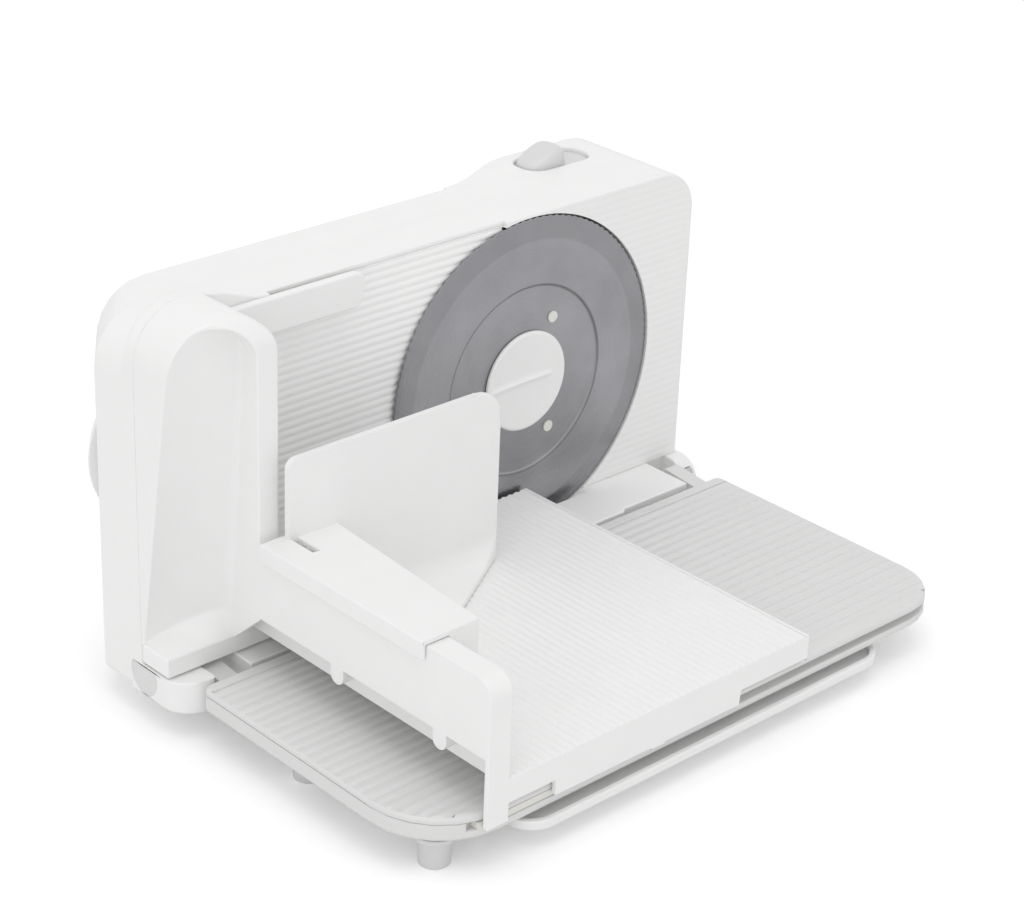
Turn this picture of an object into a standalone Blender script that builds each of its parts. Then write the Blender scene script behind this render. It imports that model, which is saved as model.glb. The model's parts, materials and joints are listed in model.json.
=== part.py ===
"""Electric folding food slicer with a fold-up base, a sliding food carriage and a remnant holder.

X runs along the blade's plane to the right, Y goes to the back and Z is up.  All sizes are in metres.
Shapes are drawn with the blade's axis at x = z = 0 and the crests of the gauge plate at y = 0.
One empty carries every object and sets the slicer on the floor, centred on its own outline.
"""

import math

import bmesh
import bpy
from mathutils import Vector

# Clearances and drawing aids
GAP = 0.0003
OVERRUN = 0.004
SKIN = 0.0024
ARC_STEPS = 6
ROUND_STEPS = 32
CIRCLE_STEPS = 96
KNOB_STEPS = 48
FOOT_STEPS = 20

# Motor housing
HOUSING_LEFT = -0.2320
HOUSING_BESIDE_BLADE = 0.0303
HOUSING_OVER_BLADE = 0.0025
HOUSING_CORNER = 0.0250
HOUSING_FOOT_CORNER = 0.0040
SHELL_DEPTH = 0.0250
RIM = 0.0028
LEDGE_OVER_BLADE = 0.0112
LEDGE_HEIGHT = 0.0157

# Rear cover
COVER_BACK = 0.0500
COVER_INSET = 0.0170
COVER_EDGE = 0.0015
BULGE_BACK = 0.0670
BULGE_START = -0.0100
BULGE_FULL = 0.0450
BULGE_CORNER = 0.0080

# Blade and drive
BLADE_RADIUS = 0.0845
BLADE_THICKNESS = 0.0011
EDGE_THICKNESS = 0.0003
BLADE_EDGE_Y = -0.0021
BEVEL_WIDTH = 0.0125
BEVEL_Y = -0.0027
DISH_RADIUS = 0.0495
DISH_Y = -0.0026
DISH_STEP = 0.0009
SEAT_Y = -0.0018
BLADE_HOLE = 0.0070
TOOTH_COUNT = 48
TOOTH_DEPTH = 0.0007
BLADE_CLEARANCE = 0.0008
RECESS_BACK = 0.0100
PEG_RADIUS = 0.0029
PEG_CIRCLE = 0.0342
PEG_COUNT = 3
PEG_RISE = 0.0008
GEAR_RADIUS = 0.0400
GEAR_TEETH = 30
GEAR_TOOTH = 0.0022
GEAR_WIDTH = 0.0080
SPINDLE_RADIUS = 0.0040
SPINDLE_END = 0.0300
KNOB_RADIUS = 0.0259
KNOB_FRONT = -0.0038
KNOB_GRIP_WIDTH = 0.0040
KNOB_DISH = 0.0008

# Ribbed plates on the face
PLATE_THICKNESS = 0.0030
PLATE_RIB_PITCH = 0.0040
PLATE_RIB_DEPTH = 0.0007
GAUGE_ARC_INSIDE = 0.0030
FIXED_PLATE_PROUD = 0.0024
FIXED_PLATE_LEFT = -0.0135
FIXED_PLATE_BORDER = 0.0026
GAUGE_TRAVEL = 0.0130
GUIDE_RADIUS = 0.0030
GUIDE_LENGTH = 0.0280
GUIDE_X = -0.2080
GUIDE_Z = 0.0580

# Slice chute through the housing, behind the blade's cutting edge
CHUTE_LEFT = -0.0820
CHUTE_RIGHT = -0.0465
CHUTE_LOW = -0.0560
CHUTE_HIGH = 0.0380
CHUTE_CORNER = 0.0080

# Ridge on the housing that backs the parked guard
RIDGE_FRONT = -0.0037
RIDGE_BACK = 0.0030
ARCH_RISE = 0.0110
ARCH_RADIUS = 0.0260
GUARD_RADIUS = 0.0200
RIDGE_RISE = ((-0.2000, 0.0104), (-0.1832, 0.0070), (-0.1654, 0.0007), (-0.1580, 0.0))
BAND_DROP = 0.0038
BAND_CORNER = 0.0160
BAND_END = -0.2200

# Hinges
HINGE_Y = -0.0140
HINGE_DROP = 0.0067
PIN_RADIUS = 0.0026
KNUCKLE_RADIUS = 0.0060
ARM_WIDTH = 0.0190
ARM_NOSE = -0.0340
ARM_CORNER = 0.0150
EAR_WIDTH = 0.0098
EAR_NOSE = -0.0174
EAR_RADIUS = 0.0125
KNUCKLE_LEFT = -0.2110
KNUCKLE_LEFT_WIDTH = 0.0100
KNUCKLE_RIGHT_INSET = 0.0198
KNUCKLE_RIGHT_WIDTH = 0.0090
LEDGE_LEFT = -0.1940
LEDGE_RIGHT_INSET = 0.0238
LEDGE_JOG_X = 0.0430
LEDGE_JOG = 0.0020
PIN_GRIP = 0.0110

# Fold release button
BUTTON_Y = -0.0054
BUTTON_DROP = 0.0052
BUTTON_RADIUS = 0.0096
BUTTON_THICKNESS = 0.0030
BUTTON_TRAVEL = 0.0030
BUTTON_SINK = 0.0003

# Folding base
BASE_LEFT = -0.2230
BASE_RIGHT_INSET = 0.0055
BASE_BACK = -0.0365
BASE_RISE = 0.0006
BASE_LID_HEIGHT = 0.0042
BASE_TUB_HEIGHT = 0.0089
BASE_CORNER_LEFT = 0.0380
BASE_CORNER_RIGHT = 0.0280
BASE_CORNER_BACK = 0.0040
BASE_EDGE = 0.0022
BASE_RIB_PITCH = 0.0060
BASE_RIB_DEPTH = 0.0007
BASE_BORDER = 0.0070
GROOVE_LEFT = -0.2000
GROOVE_RIGHT = 0.1000
GROOVE_DEPTH = 0.0060
GROOVE_HEIGHT = 0.0039

# Feet and floor
HOUSING_STAND = 0.0135
FOOT_RADIUS = 0.0078
FOOT_TAPER = 0.0008
FOOT_FLANGE = 0.0105
FOOT_FLANGE_DEPTH = 0.0035
FOOT_RECESS = 0.0015
BASE_FOOT_X = (-0.2030, 0.0880)
FOOT_FRONT_INSET = (0.0195, 0.0400)
FOOT_REAR_Y = -0.0870
HOUSING_FOOT_INSET = 0.0168
HOUSING_FOOT_Y = (0.0150, 0.0370, 0.0120, 0.0520)
HOUSING_FOOT_LEFT = (-0.1960, -0.1500)

# Slice tray
TRAY_LEFT = -0.1720
TRAY_RIGHT = 0.0600
TRAY_PROUD = 0.0045
TRAY_BACK = -0.0440
TRAY_UNDER_BASE = 0.0022
TRAY_HEIGHT = 0.0045
TRAY_CORNER = 0.0140
TRAY_RIM = 0.0030
TRAY_FLOOR = 0.0018
RAIL_WALL = 0.0030
RAIL_LIP = 0.0040
RAIL_THICKNESS = 0.0014

# Food carriage
TABLE_LEFT = -0.1830
TABLE_RIGHT = 0.0020
TABLE_FRONT = -0.1930
TABLE_BACK = -0.0050
TABLE_OVERHANG = 0.0030
TABLE_RISE = 0.0143
TABLE_THICKNESS = 0.0030
TABLE_RIB_PITCH = 0.0042
TABLE_RIB_DEPTH = 0.0005
RUN_GAP = 0.0004
SHALLOW_GAP = 0.0017
SKIRT_DROP = 0.0059
SKIRT_DEEP_LEFT = -0.1560
SKIRT_DEEP_RIGHT = -0.0425
LEG_DROP = 0.0068
FENCE_LEFT = -0.1950
FENCE_HEIGHT = 0.0368
FENCE_OVER_TABLE = 0.0119
FENCE_NOSE = 0.0080
TONGUE_RADIUS = 0.0042
TONGUE_DROP = 0.0042
TONGUE_Y = (-0.0957, -0.1624)
GUARD_BACK = -0.0042
GUARD_FRONT = -0.0420
GUARD_ROUND = 0.0140
PANEL_Y = -0.0155
PANEL_SLOPE = -0.155
FLANGE_HEIGHT = 0.0095
FLANGE_GAP = 0.0005
FLANGE_FRONT = -0.0235
TAB_RIGHT = -0.1074
TAB_FRONT = -0.0085
TAB_HEIGHT = 0.0161
TAB_UNDER_TOP = 0.0006
TAB_SLANT = 0.0050
TAB_CORNER = 0.0070
HOOK_WIDTH = 0.0080
HOOK_REACH = 0.0060
HOOK_HEIGHT = 0.0018
HOOK_X = (-0.1865, -0.0940)

# Glide bar in the base's front groove
GLIDE_LEFT = -0.1960
GLIDE_RIGHT = -0.0840
GLIDE_DEPTH = 0.0052

# Remnant holder
HOLDER_BACK = -0.0475
HOLDER_THICKNESS = 0.0030
HOLDER_RIGHT = -0.0610
HOLDER_OVER_TABLE = 0.0899
HOLDER_CORNER_LEFT = 0.0050
HOLDER_CORNER_RIGHT = 0.0140
HOLDER_LIP = -0.0020
CAP_LEFT = -0.1973
CAP_RIGHT = -0.1577
CAP_TAPER = 0.0085
CAP_BACK = -0.0450
CAP_FRONT = -0.1535
CAP_OVER_FENCE = 0.0027
CAP_SKIRT_HEIGHT = 0.0090
CAP_GUIDE_HEIGHT = 0.0230
CAP_WALL = 0.0020
SCOOP_DEPTH = 0.0560
SCOOP_HEIGHT = 0.0034
SCOOP_ROUND = 0.0110
SLOT_LENGTH = 0.0150
SLOT_WIDTH = 0.0040

# Thickness dial on the rear cover
DIAL_X = -0.1800
DIAL_Z = 0.0020
DIAL_RADIUS = 0.0340
DIAL_DEPTH = 0.0110
DIAL_GRIP_WIDTH = 0.0120
DIAL_GRIP_RISE = 0.0040
DIAL_SPINDLE = 0.0050
SCALE_RADIUS = 0.0400
SCALE_DEPTH = 0.0010

# Power switch on top
SWITCH_LEFT = 0.0405
SWITCH_RIGHT = 0.0825
SWITCH_FRONT = 0.0390
SWITCH_BACK = 0.0595
SWITCH_POCKET = 0.0040
SWITCH_PLATE = 0.0014
SWITCH_CORNER = 0.0090
SLIDER_LENGTH = 0.0265
SLIDER_LOW_RISE = 0.0030
SLIDER_HIGH_RISE = 0.0085

# Vents in the rear bulge
VENT_COUNT = 7
VENT_PITCH = 0.0080
VENT_WIDTH = 0.0030
VENT_HEIGHT = 0.0300
VENT_DEPTH = 0.0030
VENT_X = 0.0500
VENT_LOW = -0.0600

# Sizes worked out from the ones above
HOUSING_RIGHT = BLADE_RADIUS + HOUSING_BESIDE_BLADE
HOUSING_TOP = BLADE_RADIUS + HOUSING_OVER_BLADE
LEDGE_TOP = LEDGE_OVER_BLADE - BLADE_RADIUS
HOUSING_BOTTOM = LEDGE_TOP - LEDGE_HEIGHT
FLOOR = HOUSING_BOTTOM - HOUSING_STAND
BEVEL_RADIUS = BLADE_RADIUS - BEVEL_WIDTH
GAUGE_ARC = BLADE_RADIUS - GAUGE_ARC_INSIDE
ARCH_TOP = HOUSING_TOP + ARCH_RISE
RIDGE_LINE = tuple((x, HOUSING_TOP + rise) for x, rise in RIDGE_RISE)
BAND_TOP = ARCH_TOP - BAND_DROP
HINGE_Z = LEDGE_TOP - HINGE_DROP
BUTTON_Z = LEDGE_TOP - BUTTON_DROP
KNUCKLE_RIGHT = HOUSING_RIGHT - KNUCKLE_RIGHT_INSET
LEDGE_RIGHT = HOUSING_RIGHT - LEDGE_RIGHT_INSET
BASE_RIGHT = HOUSING_RIGHT - BASE_RIGHT_INSET
BASE_FRONT = TABLE_FRONT + TABLE_OVERHANG
BASE_TOP = LEDGE_TOP + BASE_RISE
BASE_SPLIT = BASE_TOP - BASE_LID_HEIGHT
BASE_BOTTOM = BASE_SPLIT - BASE_TUB_HEIGHT
GROOVE_LOW = BASE_SPLIT - GROOVE_HEIGHT
BASE_FOOT_Y = tuple((BASE_FRONT + inset, FOOT_REAR_Y) for inset in FOOT_FRONT_INSET)
HOUSING_FEET = tuple(zip(HOUSING_FOOT_LEFT + (HOUSING_RIGHT - HOUSING_FOOT_INSET,) * 2, HOUSING_FOOT_Y))
TRAY_FRONT = BASE_FRONT - TRAY_PROUD
TRAY_TOP = BASE_BOTTOM - TRAY_UNDER_BASE
TABLE_TOP = BASE_TOP + TABLE_RISE
SKIRT_RUN = BASE_TOP + RUN_GAP
SKIRT_SHALLOW = BASE_TOP + SHALLOW_GAP
SKIRT_DEEP = BASE_TOP - SKIRT_DROP
LEG_LOW = BASE_TOP - LEG_DROP
FENCE_LOW = TABLE_TOP + FENCE_OVER_TABLE
FENCE_TOP = FENCE_LOW + FENCE_HEIGHT
FLANGE_LOW = BASE_TOP + FLANGE_GAP
FLANGE_TOP = FLANGE_LOW + FLANGE_HEIGHT
TAB_TOP = HOUSING_TOP - TAB_UNDER_TOP
TAB_LOW = TAB_TOP - TAB_HEIGHT
HOOK_LOW = LEG_LOW
HOOK_HIGH = HOOK_LOW + HOOK_HEIGHT
HOLDER_TOP = TABLE_TOP + HOLDER_OVER_TABLE
CAP_TOP = FENCE_TOP + CAP_OVER_FENCE
CAP_SKIRT = CAP_TOP - CAP_SKIRT_HEIGHT
CAP_GUIDE = CAP_TOP - CAP_GUIDE_HEIGHT
SCOOP_TOP = TABLE_TOP + SCOOP_HEIGHT
ARM_RIGHT = HOUSING_LEFT + ARM_WIDTH
EAR_LEFT = HOUSING_RIGHT - EAR_WIDTH
RECESS_RADIUS = BLADE_RADIUS + BLADE_CLEARANCE
POCKET_LEFT = HOUSING_LEFT + RIM
POCKET_TOP = HOUSING_TOP - RIM * 0.75
POCKET_BACK = PLATE_THICKNESS + GAUGE_TRAVEL + SKIN
PLATE_LOW = LEDGE_TOP + GAP
SEAT_BACK = SEAT_Y + BLADE_THICKNESS
GEAR_FRONT = SEAT_BACK + GAP
GEAR_BACK = GEAR_FRONT + GEAR_WIDTH
TRAY_LOW = TRAY_TOP - TRAY_HEIGHT
FENCE_RIGHT = TABLE_LEFT
CENTRE_X = (HOUSING_LEFT + HOUSING_RIGHT) / 2
CENTRE_Y = (TRAY_FRONT + BULGE_BACK) / 2

WHITE = (0.86, 0.86, 0.85)
GREY = (0.58, 0.59, 0.60)
RUBBER = (0.50, 0.50, 0.51)
STEEL = (0.45, 0.45, 0.47)
LOOKS = {
    "white_plastic": (WHITE, 0.32, 0.0),
    "grey_plastic": (GREY, 0.45, 0.0),
    "blade_steel": (STEEL, 0.30, 1.0),
    "steel": ((0.62, 0.62, 0.64), 0.28, 1.0),
    "rubber": (RUBBER, 0.70, 0.0),
    "gear_plastic": ((0.80, 0.79, 0.74), 0.50, 0.0),
}
ORIGIN_NAME = "slicer_origin"


def clear_scene():
    """Empty the file before modelling."""
    for thing in list(bpy.data.objects):
        bpy.data.objects.remove(thing, do_unlink=True)


def make_origin():
    """The empty that sets the drawing frame on the floor, centred."""
    origin = bpy.data.objects.new(ORIGIN_NAME, None)
    bpy.context.collection.objects.link(origin)
    origin.location = (-CENTRE_X, -CENTRE_Y, -FLOOR)
    return origin


def material_for(node, look):
    """One Principled material for one node."""
    colour, roughness, metallic = LOOKS[look]
    made = bpy.data.materials.new(f"{node}_{look}")
    made.use_nodes = True
    shader = made.node_tree.nodes["Principled BSDF"]
    shader.inputs["Base Color"].default_value = (*colour, 1.0)
    shader.inputs["Roughness"].default_value = roughness
    shader.inputs["Metallic"].default_value = metallic
    made.diffuse_color = (*colour, 1.0)
    return made


def add_mesh(name, mesh_data):
    """Link a bmesh as an object under the origin empty."""
    bmesh.ops.recalc_face_normals(mesh_data, faces=mesh_data.faces)
    mesh = bpy.data.meshes.new(name)
    mesh_data.to_mesh(mesh)
    mesh_data.free()
    made = bpy.data.objects.new(name, mesh)
    bpy.context.collection.objects.link(made)
    made.parent = bpy.data.objects[ORIGIN_NAME]
    return made


def finish(made, look, smooth=None):
    """Give a node its material, and smooth its round sides where asked."""
    made.data.materials.clear()
    made.data.materials.append(material_for(made.name, look))
    if smooth is not None:
        made.data.shade_smooth()
        made.data.set_sharp_from_angle(angle=math.radians(smooth))
    return made


def as_tool(made):
    """Mark an object as a cutter or a guide that is no node."""
    made.hide_render = True
    made.display_type = "WIRE"
    return made


def boolean(target, tool, operation):
    """Cut, join or intersect with a tool object."""
    step = target.modifiers.new(f"{operation.lower()}_{tool.name}", "BOOLEAN")
    step.operation = operation
    step.solver = "EXACT"
    step.object = as_tool(tool)
    return target


def cut(target, *tools):
    for tool in tools:
        boolean(target, tool, "DIFFERENCE")
    return target


def join(target, *tools):
    for tool in tools:
        boolean(target, tool, "UNION")
    return target


def keep_inside(target, tool):
    return boolean(target, tool, "INTERSECT")


def on_axis(axis, pair, along):
    """A drawing point and a distance along the axis, as a point in space."""
    first, second = pair
    if axis == "X":
        return Vector((along, first, second))
    if axis == "Y":
        return Vector((first, along, second))
    return Vector((first, second, along))


def prism(name, outline, axis, start, end):
    """An outline pushed along one axis: (y, z) for X, (x, z) for Y and (x, y) for Z."""
    return loft(name, [(outline, start), (outline, end)], axis)


def loft(name, sections, axis):
    """A closed skin through outlines of equal length, each at its own place on the axis."""
    mesh_data = bmesh.new()
    rings = [[mesh_data.verts.new(on_axis(axis, pair, along)) for pair in outline]
             for outline, along in sections]
    count = len(rings[0])
    for near, far in zip(rings, rings[1:]):
        for i in range(count):
            j = (i + 1) % count
            mesh_data.faces.new((near[i], near[j], far[j], far[i]))
    mesh_data.faces.new(rings[0])
    mesh_data.faces.new(list(reversed(rings[-1])))
    return add_mesh(name, mesh_data)


def block(name, low, high):
    """A box between two corners."""
    (x0, y0, z0), (x1, y1, z1) = low, high
    return prism(name, [(x0, y0), (x1, y0), (x1, y1), (x0, y1)], "Z", z0, z1)


def arc(centre, radius, start, end, steps):
    """Points of an arc, angles in degrees."""
    points = []
    for k in range(steps + 1):
        angle = math.radians(start + (end - start) * k / steps)
        points.append((centre[0] + radius * math.cos(angle), centre[1] + radius * math.sin(angle)))
    return points


def circle(centre, radius, steps=ROUND_STEPS):
    return arc(centre, radius, 0, 360, steps)[:-1]


def rounded(corners, steps=ARC_STEPS):
    """A polygon with each corner (x, y, radius) rounded by its own radius."""
    points = []
    for i, (x, y, radius) in enumerate(corners):
        here = Vector((x, y))
        if radius == 0:
            points.append((x, y))
            continue
        before = (Vector(corners[i - 1][:2]) - here).normalized()
        after = (Vector(corners[(i + 1) % len(corners)][:2]) - here).normalized()
        half = before.angle(after) / 2
        centre = here + (before + after).normalized() * (radius / math.sin(half))
        first = here + before * (radius / math.tan(half)) - centre
        last = here + after * (radius / math.tan(half)) - centre
        sweep = first.angle_signed(last)
        start = math.atan2(first.y, first.x)
        for k in range(steps + 1):
            angle = start - sweep * k / steps
            points.append((centre.x + radius * math.cos(angle), centre.y + radius * math.sin(angle)))
    return points


def cylinder(name, axis, centre, radius, start, end, steps=ROUND_STEPS):
    return prism(name, circle(centre, radius, steps), axis, start, end)


def turned(name, profile, steps=CIRCLE_STEPS, centre=(0, 0), radius_at=None):
    """A profile of (radius, y) turned about an axis along Y; a radius of zero closes it."""
    mesh_data = bmesh.new()
    rings = []
    for radius, y in profile:
        if radius == 0:
            rings.append([mesh_data.verts.new((centre[0], y, centre[1]))])
            continue
        ring = []
        for k in range(steps):
            angle = math.pi * (2 * k + 1) / steps
            here = radius_at(radius, k) if radius_at else radius
            ring.append(mesh_data.verts.new((centre[0] + here * math.cos(angle), y,
                                             centre[1] + here * math.sin(angle))))
        rings.append(ring)
    closed = rings[0] is not rings[-1] and len(rings[0]) > 1 and len(rings[-1]) > 1
    pairs = list(zip(rings, rings[1:])) + ([(rings[-1], rings[0])] if closed else [])
    for near, far in pairs:
        for k in range(steps):
            j = (k + 1) % steps
            corners = [near[k % len(near)], near[j % len(near)], far[j % len(far)], far[k % len(far)]]
            mesh_data.faces.new(list(dict.fromkeys(corners)))
    return add_mesh(name, mesh_data)


def wave(start, end, pitch, crest, valley, back):
    """A ribbed slab's section: crests and valleys from start to end, closed along its back."""
    count = round((end - start) / pitch)
    step = (end - start) / count
    points = []
    for k in range(count):
        low = start + k * step
        points += [(low, valley), (low + step * 0.3, valley), (low + step * 0.5, crest),
                   (low + step * 0.8, crest)]
    return points + [(end, valley), (end, back), (start, back)]


def housing_outline(inset=0.0, left_inset=0.0):
    """The housing seen from the front, drawn in from its edge by the insets."""
    left = HOUSING_LEFT + inset + left_inset
    right = HOUSING_RIGHT - inset
    top = HOUSING_TOP - inset
    low = HOUSING_BOTTOM + inset
    corner = HOUSING_CORNER - inset
    foot = HOUSING_FOOT_CORNER - inset
    return rounded([(left, low, foot), (right, low, foot), (right, top, corner), (left, top, corner)])


def arch_line(inset=0.0):
    """The arch over the guard, from its left foot over the top and down to the right."""
    radius = ARCH_RADIUS - inset
    centre = (HOUSING_LEFT + ARCH_RADIUS, ARCH_TOP - ARCH_RADIUS)
    return arc(centre, radius, 180, 90, ARC_STEPS)


def front_shell():
    shell = prism("front_shell", housing_outline(), "Y", 0, SHELL_DEPTH)
    ledge = prism("ledge_guide", [
        (LEDGE_LEFT, 0), (LEDGE_LEFT, ARM_NOSE), (LEDGE_JOG_X, ARM_NOSE),
        (LEDGE_JOG_X + LEDGE_JOG, ARM_NOSE + LEDGE_JOG), (LEDGE_RIGHT, ARM_NOSE + LEDGE_JOG),
        (LEDGE_RIGHT, OVERRUN), (LEDGE_LEFT, OVERRUN)], "Z", HOUSING_BOTTOM, LEDGE_TOP)
    arm = prism("arm_guide", rounded([
        (HOUSING_LEFT, OVERRUN, 0), (HOUSING_LEFT, ARM_NOSE, ARM_CORNER),
        (ARM_RIGHT, ARM_NOSE, SKIN), (ARM_RIGHT, OVERRUN, 0)]), "Z", HOUSING_BOTTOM, LEDGE_TOP)
    ear_centre = (EAR_NOSE + EAR_RADIUS, LEDGE_TOP - EAR_RADIUS)
    ear = prism("ear_guide", [(OVERRUN, LEDGE_TOP)] + arc(ear_centre, EAR_RADIUS, 90, 180, ARC_STEPS)
                + [(EAR_NOSE, HOUSING_BOTTOM), (OVERRUN, HOUSING_BOTTOM)], "X", EAR_LEFT, HOUSING_RIGHT)
    ridge = prism("ridge_guide", [(HOUSING_LEFT, LEDGE_TOP)] + arch_line() + list(RIDGE_LINE) + [
        (RIDGE_LINE[-1][0], POCKET_TOP), (HOUSING_LEFT + HOUSING_CORNER, POCKET_TOP),
        (POCKET_LEFT, HOUSING_TOP - HOUSING_CORNER), (POCKET_LEFT, LEDGE_TOP)],
        "Y", RIDGE_FRONT, RIDGE_BACK)
    join(shell, ledge, arm, ear, ridge)

    pocket = prism("gauge_pocket_cutter", gauge_outline(-GAP, GAUGE_ARC - GAP), "Y",
                   -OVERRUN - SKIN, POCKET_BACK)
    cut(pocket, prism("pocket_trim_cutter", [
        (HOUSING_LEFT, LEDGE_TOP - OVERRUN), (HOUSING_RIGHT, LEDGE_TOP - OVERRUN),
        (HOUSING_RIGHT, LEDGE_TOP), (HOUSING_LEFT, LEDGE_TOP)], "Y", -OVERRUN * 3, SHELL_DEPTH))
    recess = cylinder("blade_recess_cutter", "Y", (0, 0), RECESS_RADIUS,
                      BLADE_EDGE_Y - SKIN * 2, RECESS_BACK, CIRCLE_STEPS)
    gear_room = cylinder("gear_room_cutter", "Y", (0, 0), GEAR_RADIUS + SKIN, RECESS_BACK - OVERRUN,
                         GEAR_BACK + SKIN)
    seat = prism("plate_seat_cutter", fixed_plate_outline(-GAP), "Y", -OVERRUN, plate_seat_depth())
    chute = chute_cutter("shell_chute_cutter", RECESS_BACK - OVERRUN, SHELL_DEPTH + OVERRUN)
    bores = [cylinder(f"shell_guide_bore_{i}", "Y", (GUIDE_X, z), GUIDE_RADIUS + GAP, 0,
                      SHELL_DEPTH + OVERRUN) for i, z in enumerate((-GUIDE_Z, GUIDE_Z))]
    spindle_bore = cylinder("shell_spindle_bore", "Y", (0, 0), SPINDLE_RADIUS + GAP, 0,
                            SPINDLE_END + GAP)
    dial_bore = cylinder("shell_dial_bore", "Y", (DIAL_X, DIAL_Z), DIAL_SPINDLE + GAP, POCKET_BACK,
                         SHELL_DEPTH + OVERRUN)
    pin_left = cylinder("arm_pin_bore", "X", (HINGE_Y, HINGE_Z), PIN_RADIUS + GAP,
                        ARM_RIGHT - PIN_GRIP - GAP, ARM_RIGHT + OVERRUN)
    pin_right = cylinder("ear_pin_bore", "X", (HINGE_Y, HINGE_Z), PIN_RADIUS + GAP,
                         EAR_LEFT - OVERRUN, EAR_LEFT + EAR_WIDTH * 0.7 + GAP)
    button_room = prism("button_room_cutter", button_outline(GAP), "X", HOUSING_LEFT - OVERRUN,
                        HOUSING_LEFT + BUTTON_SINK + BUTTON_THICKNESS + BUTTON_TRAVEL + GAP)
    cut(shell, pocket, recess, gear_room, seat, chute, spindle_bore, dial_bore, pin_left, pin_right,
        button_room, *bores)
    return finish(shell, "white_plastic", 30)


def plate_seat_depth():
    return PLATE_THICKNESS - FIXED_PLATE_PROUD + GAP


def chute_cutter(name, start, end):
    return prism(name, rounded([
        (CHUTE_LEFT, CHUTE_LOW, CHUTE_CORNER), (CHUTE_RIGHT, CHUTE_LOW, CHUTE_CORNER),
        (CHUTE_RIGHT, CHUTE_HIGH, CHUTE_CORNER), (CHUTE_LEFT, CHUTE_HIGH, CHUTE_CORNER)]),
        "Y", start, end)


def button_outline(grow=0.0):
    """The release button: a disc with its top cut level, under the carriage's flange."""
    radius = BUTTON_RADIUS + grow
    level = LEDGE_TOP - GAP * 2 + grow
    rise = math.degrees(math.asin((level - BUTTON_Z) / radius))
    return arc((BUTTON_Y, BUTTON_Z), radius, 180 - rise, 360 + rise, ROUND_STEPS)


def gauge_outline(inset, blade_gap_radius):
    """The gauge plate: everything left of the blade, cut round by the blade's own circle."""
    left = POCKET_LEFT + GAP + inset
    top = POCKET_TOP - GAP - inset
    low = PLATE_LOW + inset
    corner = HOUSING_CORNER - RIM
    angle_top = math.degrees(math.asin(top / blade_gap_radius)) if top < blade_gap_radius else 84.0
    angle_low = math.degrees(math.asin(-low / blade_gap_radius))
    tip = (blade_gap_radius * math.cos(math.radians(180 - angle_top)), top)
    outline = [(left, low)]
    outline += reversed(arc(
        (0, 0), blade_gap_radius, 180 - min(angle_top, 78.0), 180 + angle_low, ROUND_STEPS))
    tip_x = outline[-1][0]
    outline += [(tip_x, top)] if tip[0] < tip_x else [(tip_x, top)]
    outline += arc((left + corner, top - corner), corner, 90, 180, ARC_STEPS)
    return outline


def fixed_plate_outline(inset):
    """The plate right of the blade; the blade's recess is cut from it afterwards."""
    left = FIXED_PLATE_LEFT + inset
    right = HOUSING_RIGHT - FIXED_PLATE_BORDER - inset
    top = HOUSING_TOP - GAP * 2 - inset
    low = PLATE_LOW + inset
    return rounded([(left, low, 0), (right, low, 0), (right, top, HOUSING_CORNER - FIXED_PLATE_BORDER),
                    (left, top, 0)])


def ribbed_plate(name, outline, front):
    """A plate with level ribs across it, between its front and its flat back."""
    section = [(y, z) for z, y in wave(PLATE_LOW - PLATE_RIB_PITCH, HOUSING_TOP + PLATE_RIB_PITCH,
                                       PLATE_RIB_PITCH, front, front + PLATE_RIB_DEPTH,
                                       front + PLATE_THICKNESS)]
    slab = prism(name, section, "X", HOUSING_LEFT - OVERRUN, HOUSING_RIGHT + OVERRUN)
    return keep_inside(slab, prism(f"{name}_trim_guide", outline, "Y", front - OVERRUN,
                                   front + PLATE_THICKNESS + OVERRUN))


def face_plates():
    fixed = ribbed_plate("fixed_plate", fixed_plate_outline(0), -FIXED_PLATE_PROUD)
    cut(fixed, cylinder("plate_recess_cutter", "Y", (0, 0), RECESS_RADIUS, -FIXED_PLATE_PROUD * 2,
                        PLATE_THICKNESS * 2, CIRCLE_STEPS))
    finish(fixed, "white_plastic")
    gauge = ribbed_plate("gauge_plate", gauge_outline(0, GAUGE_ARC), 0)
    finish(gauge, "white_plastic")
    for place, z in (("lower", -GUIDE_Z), ("upper", GUIDE_Z)):
        guide = cylinder(f"gauge_guide_{place}", "Y", (GUIDE_X, z), GUIDE_RADIUS,
                         PLATE_THICKNESS + GAP, PLATE_THICKNESS + GUIDE_LENGTH, ROUND_STEPS // 2)
        finish(guide, "steel", 40)


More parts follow.
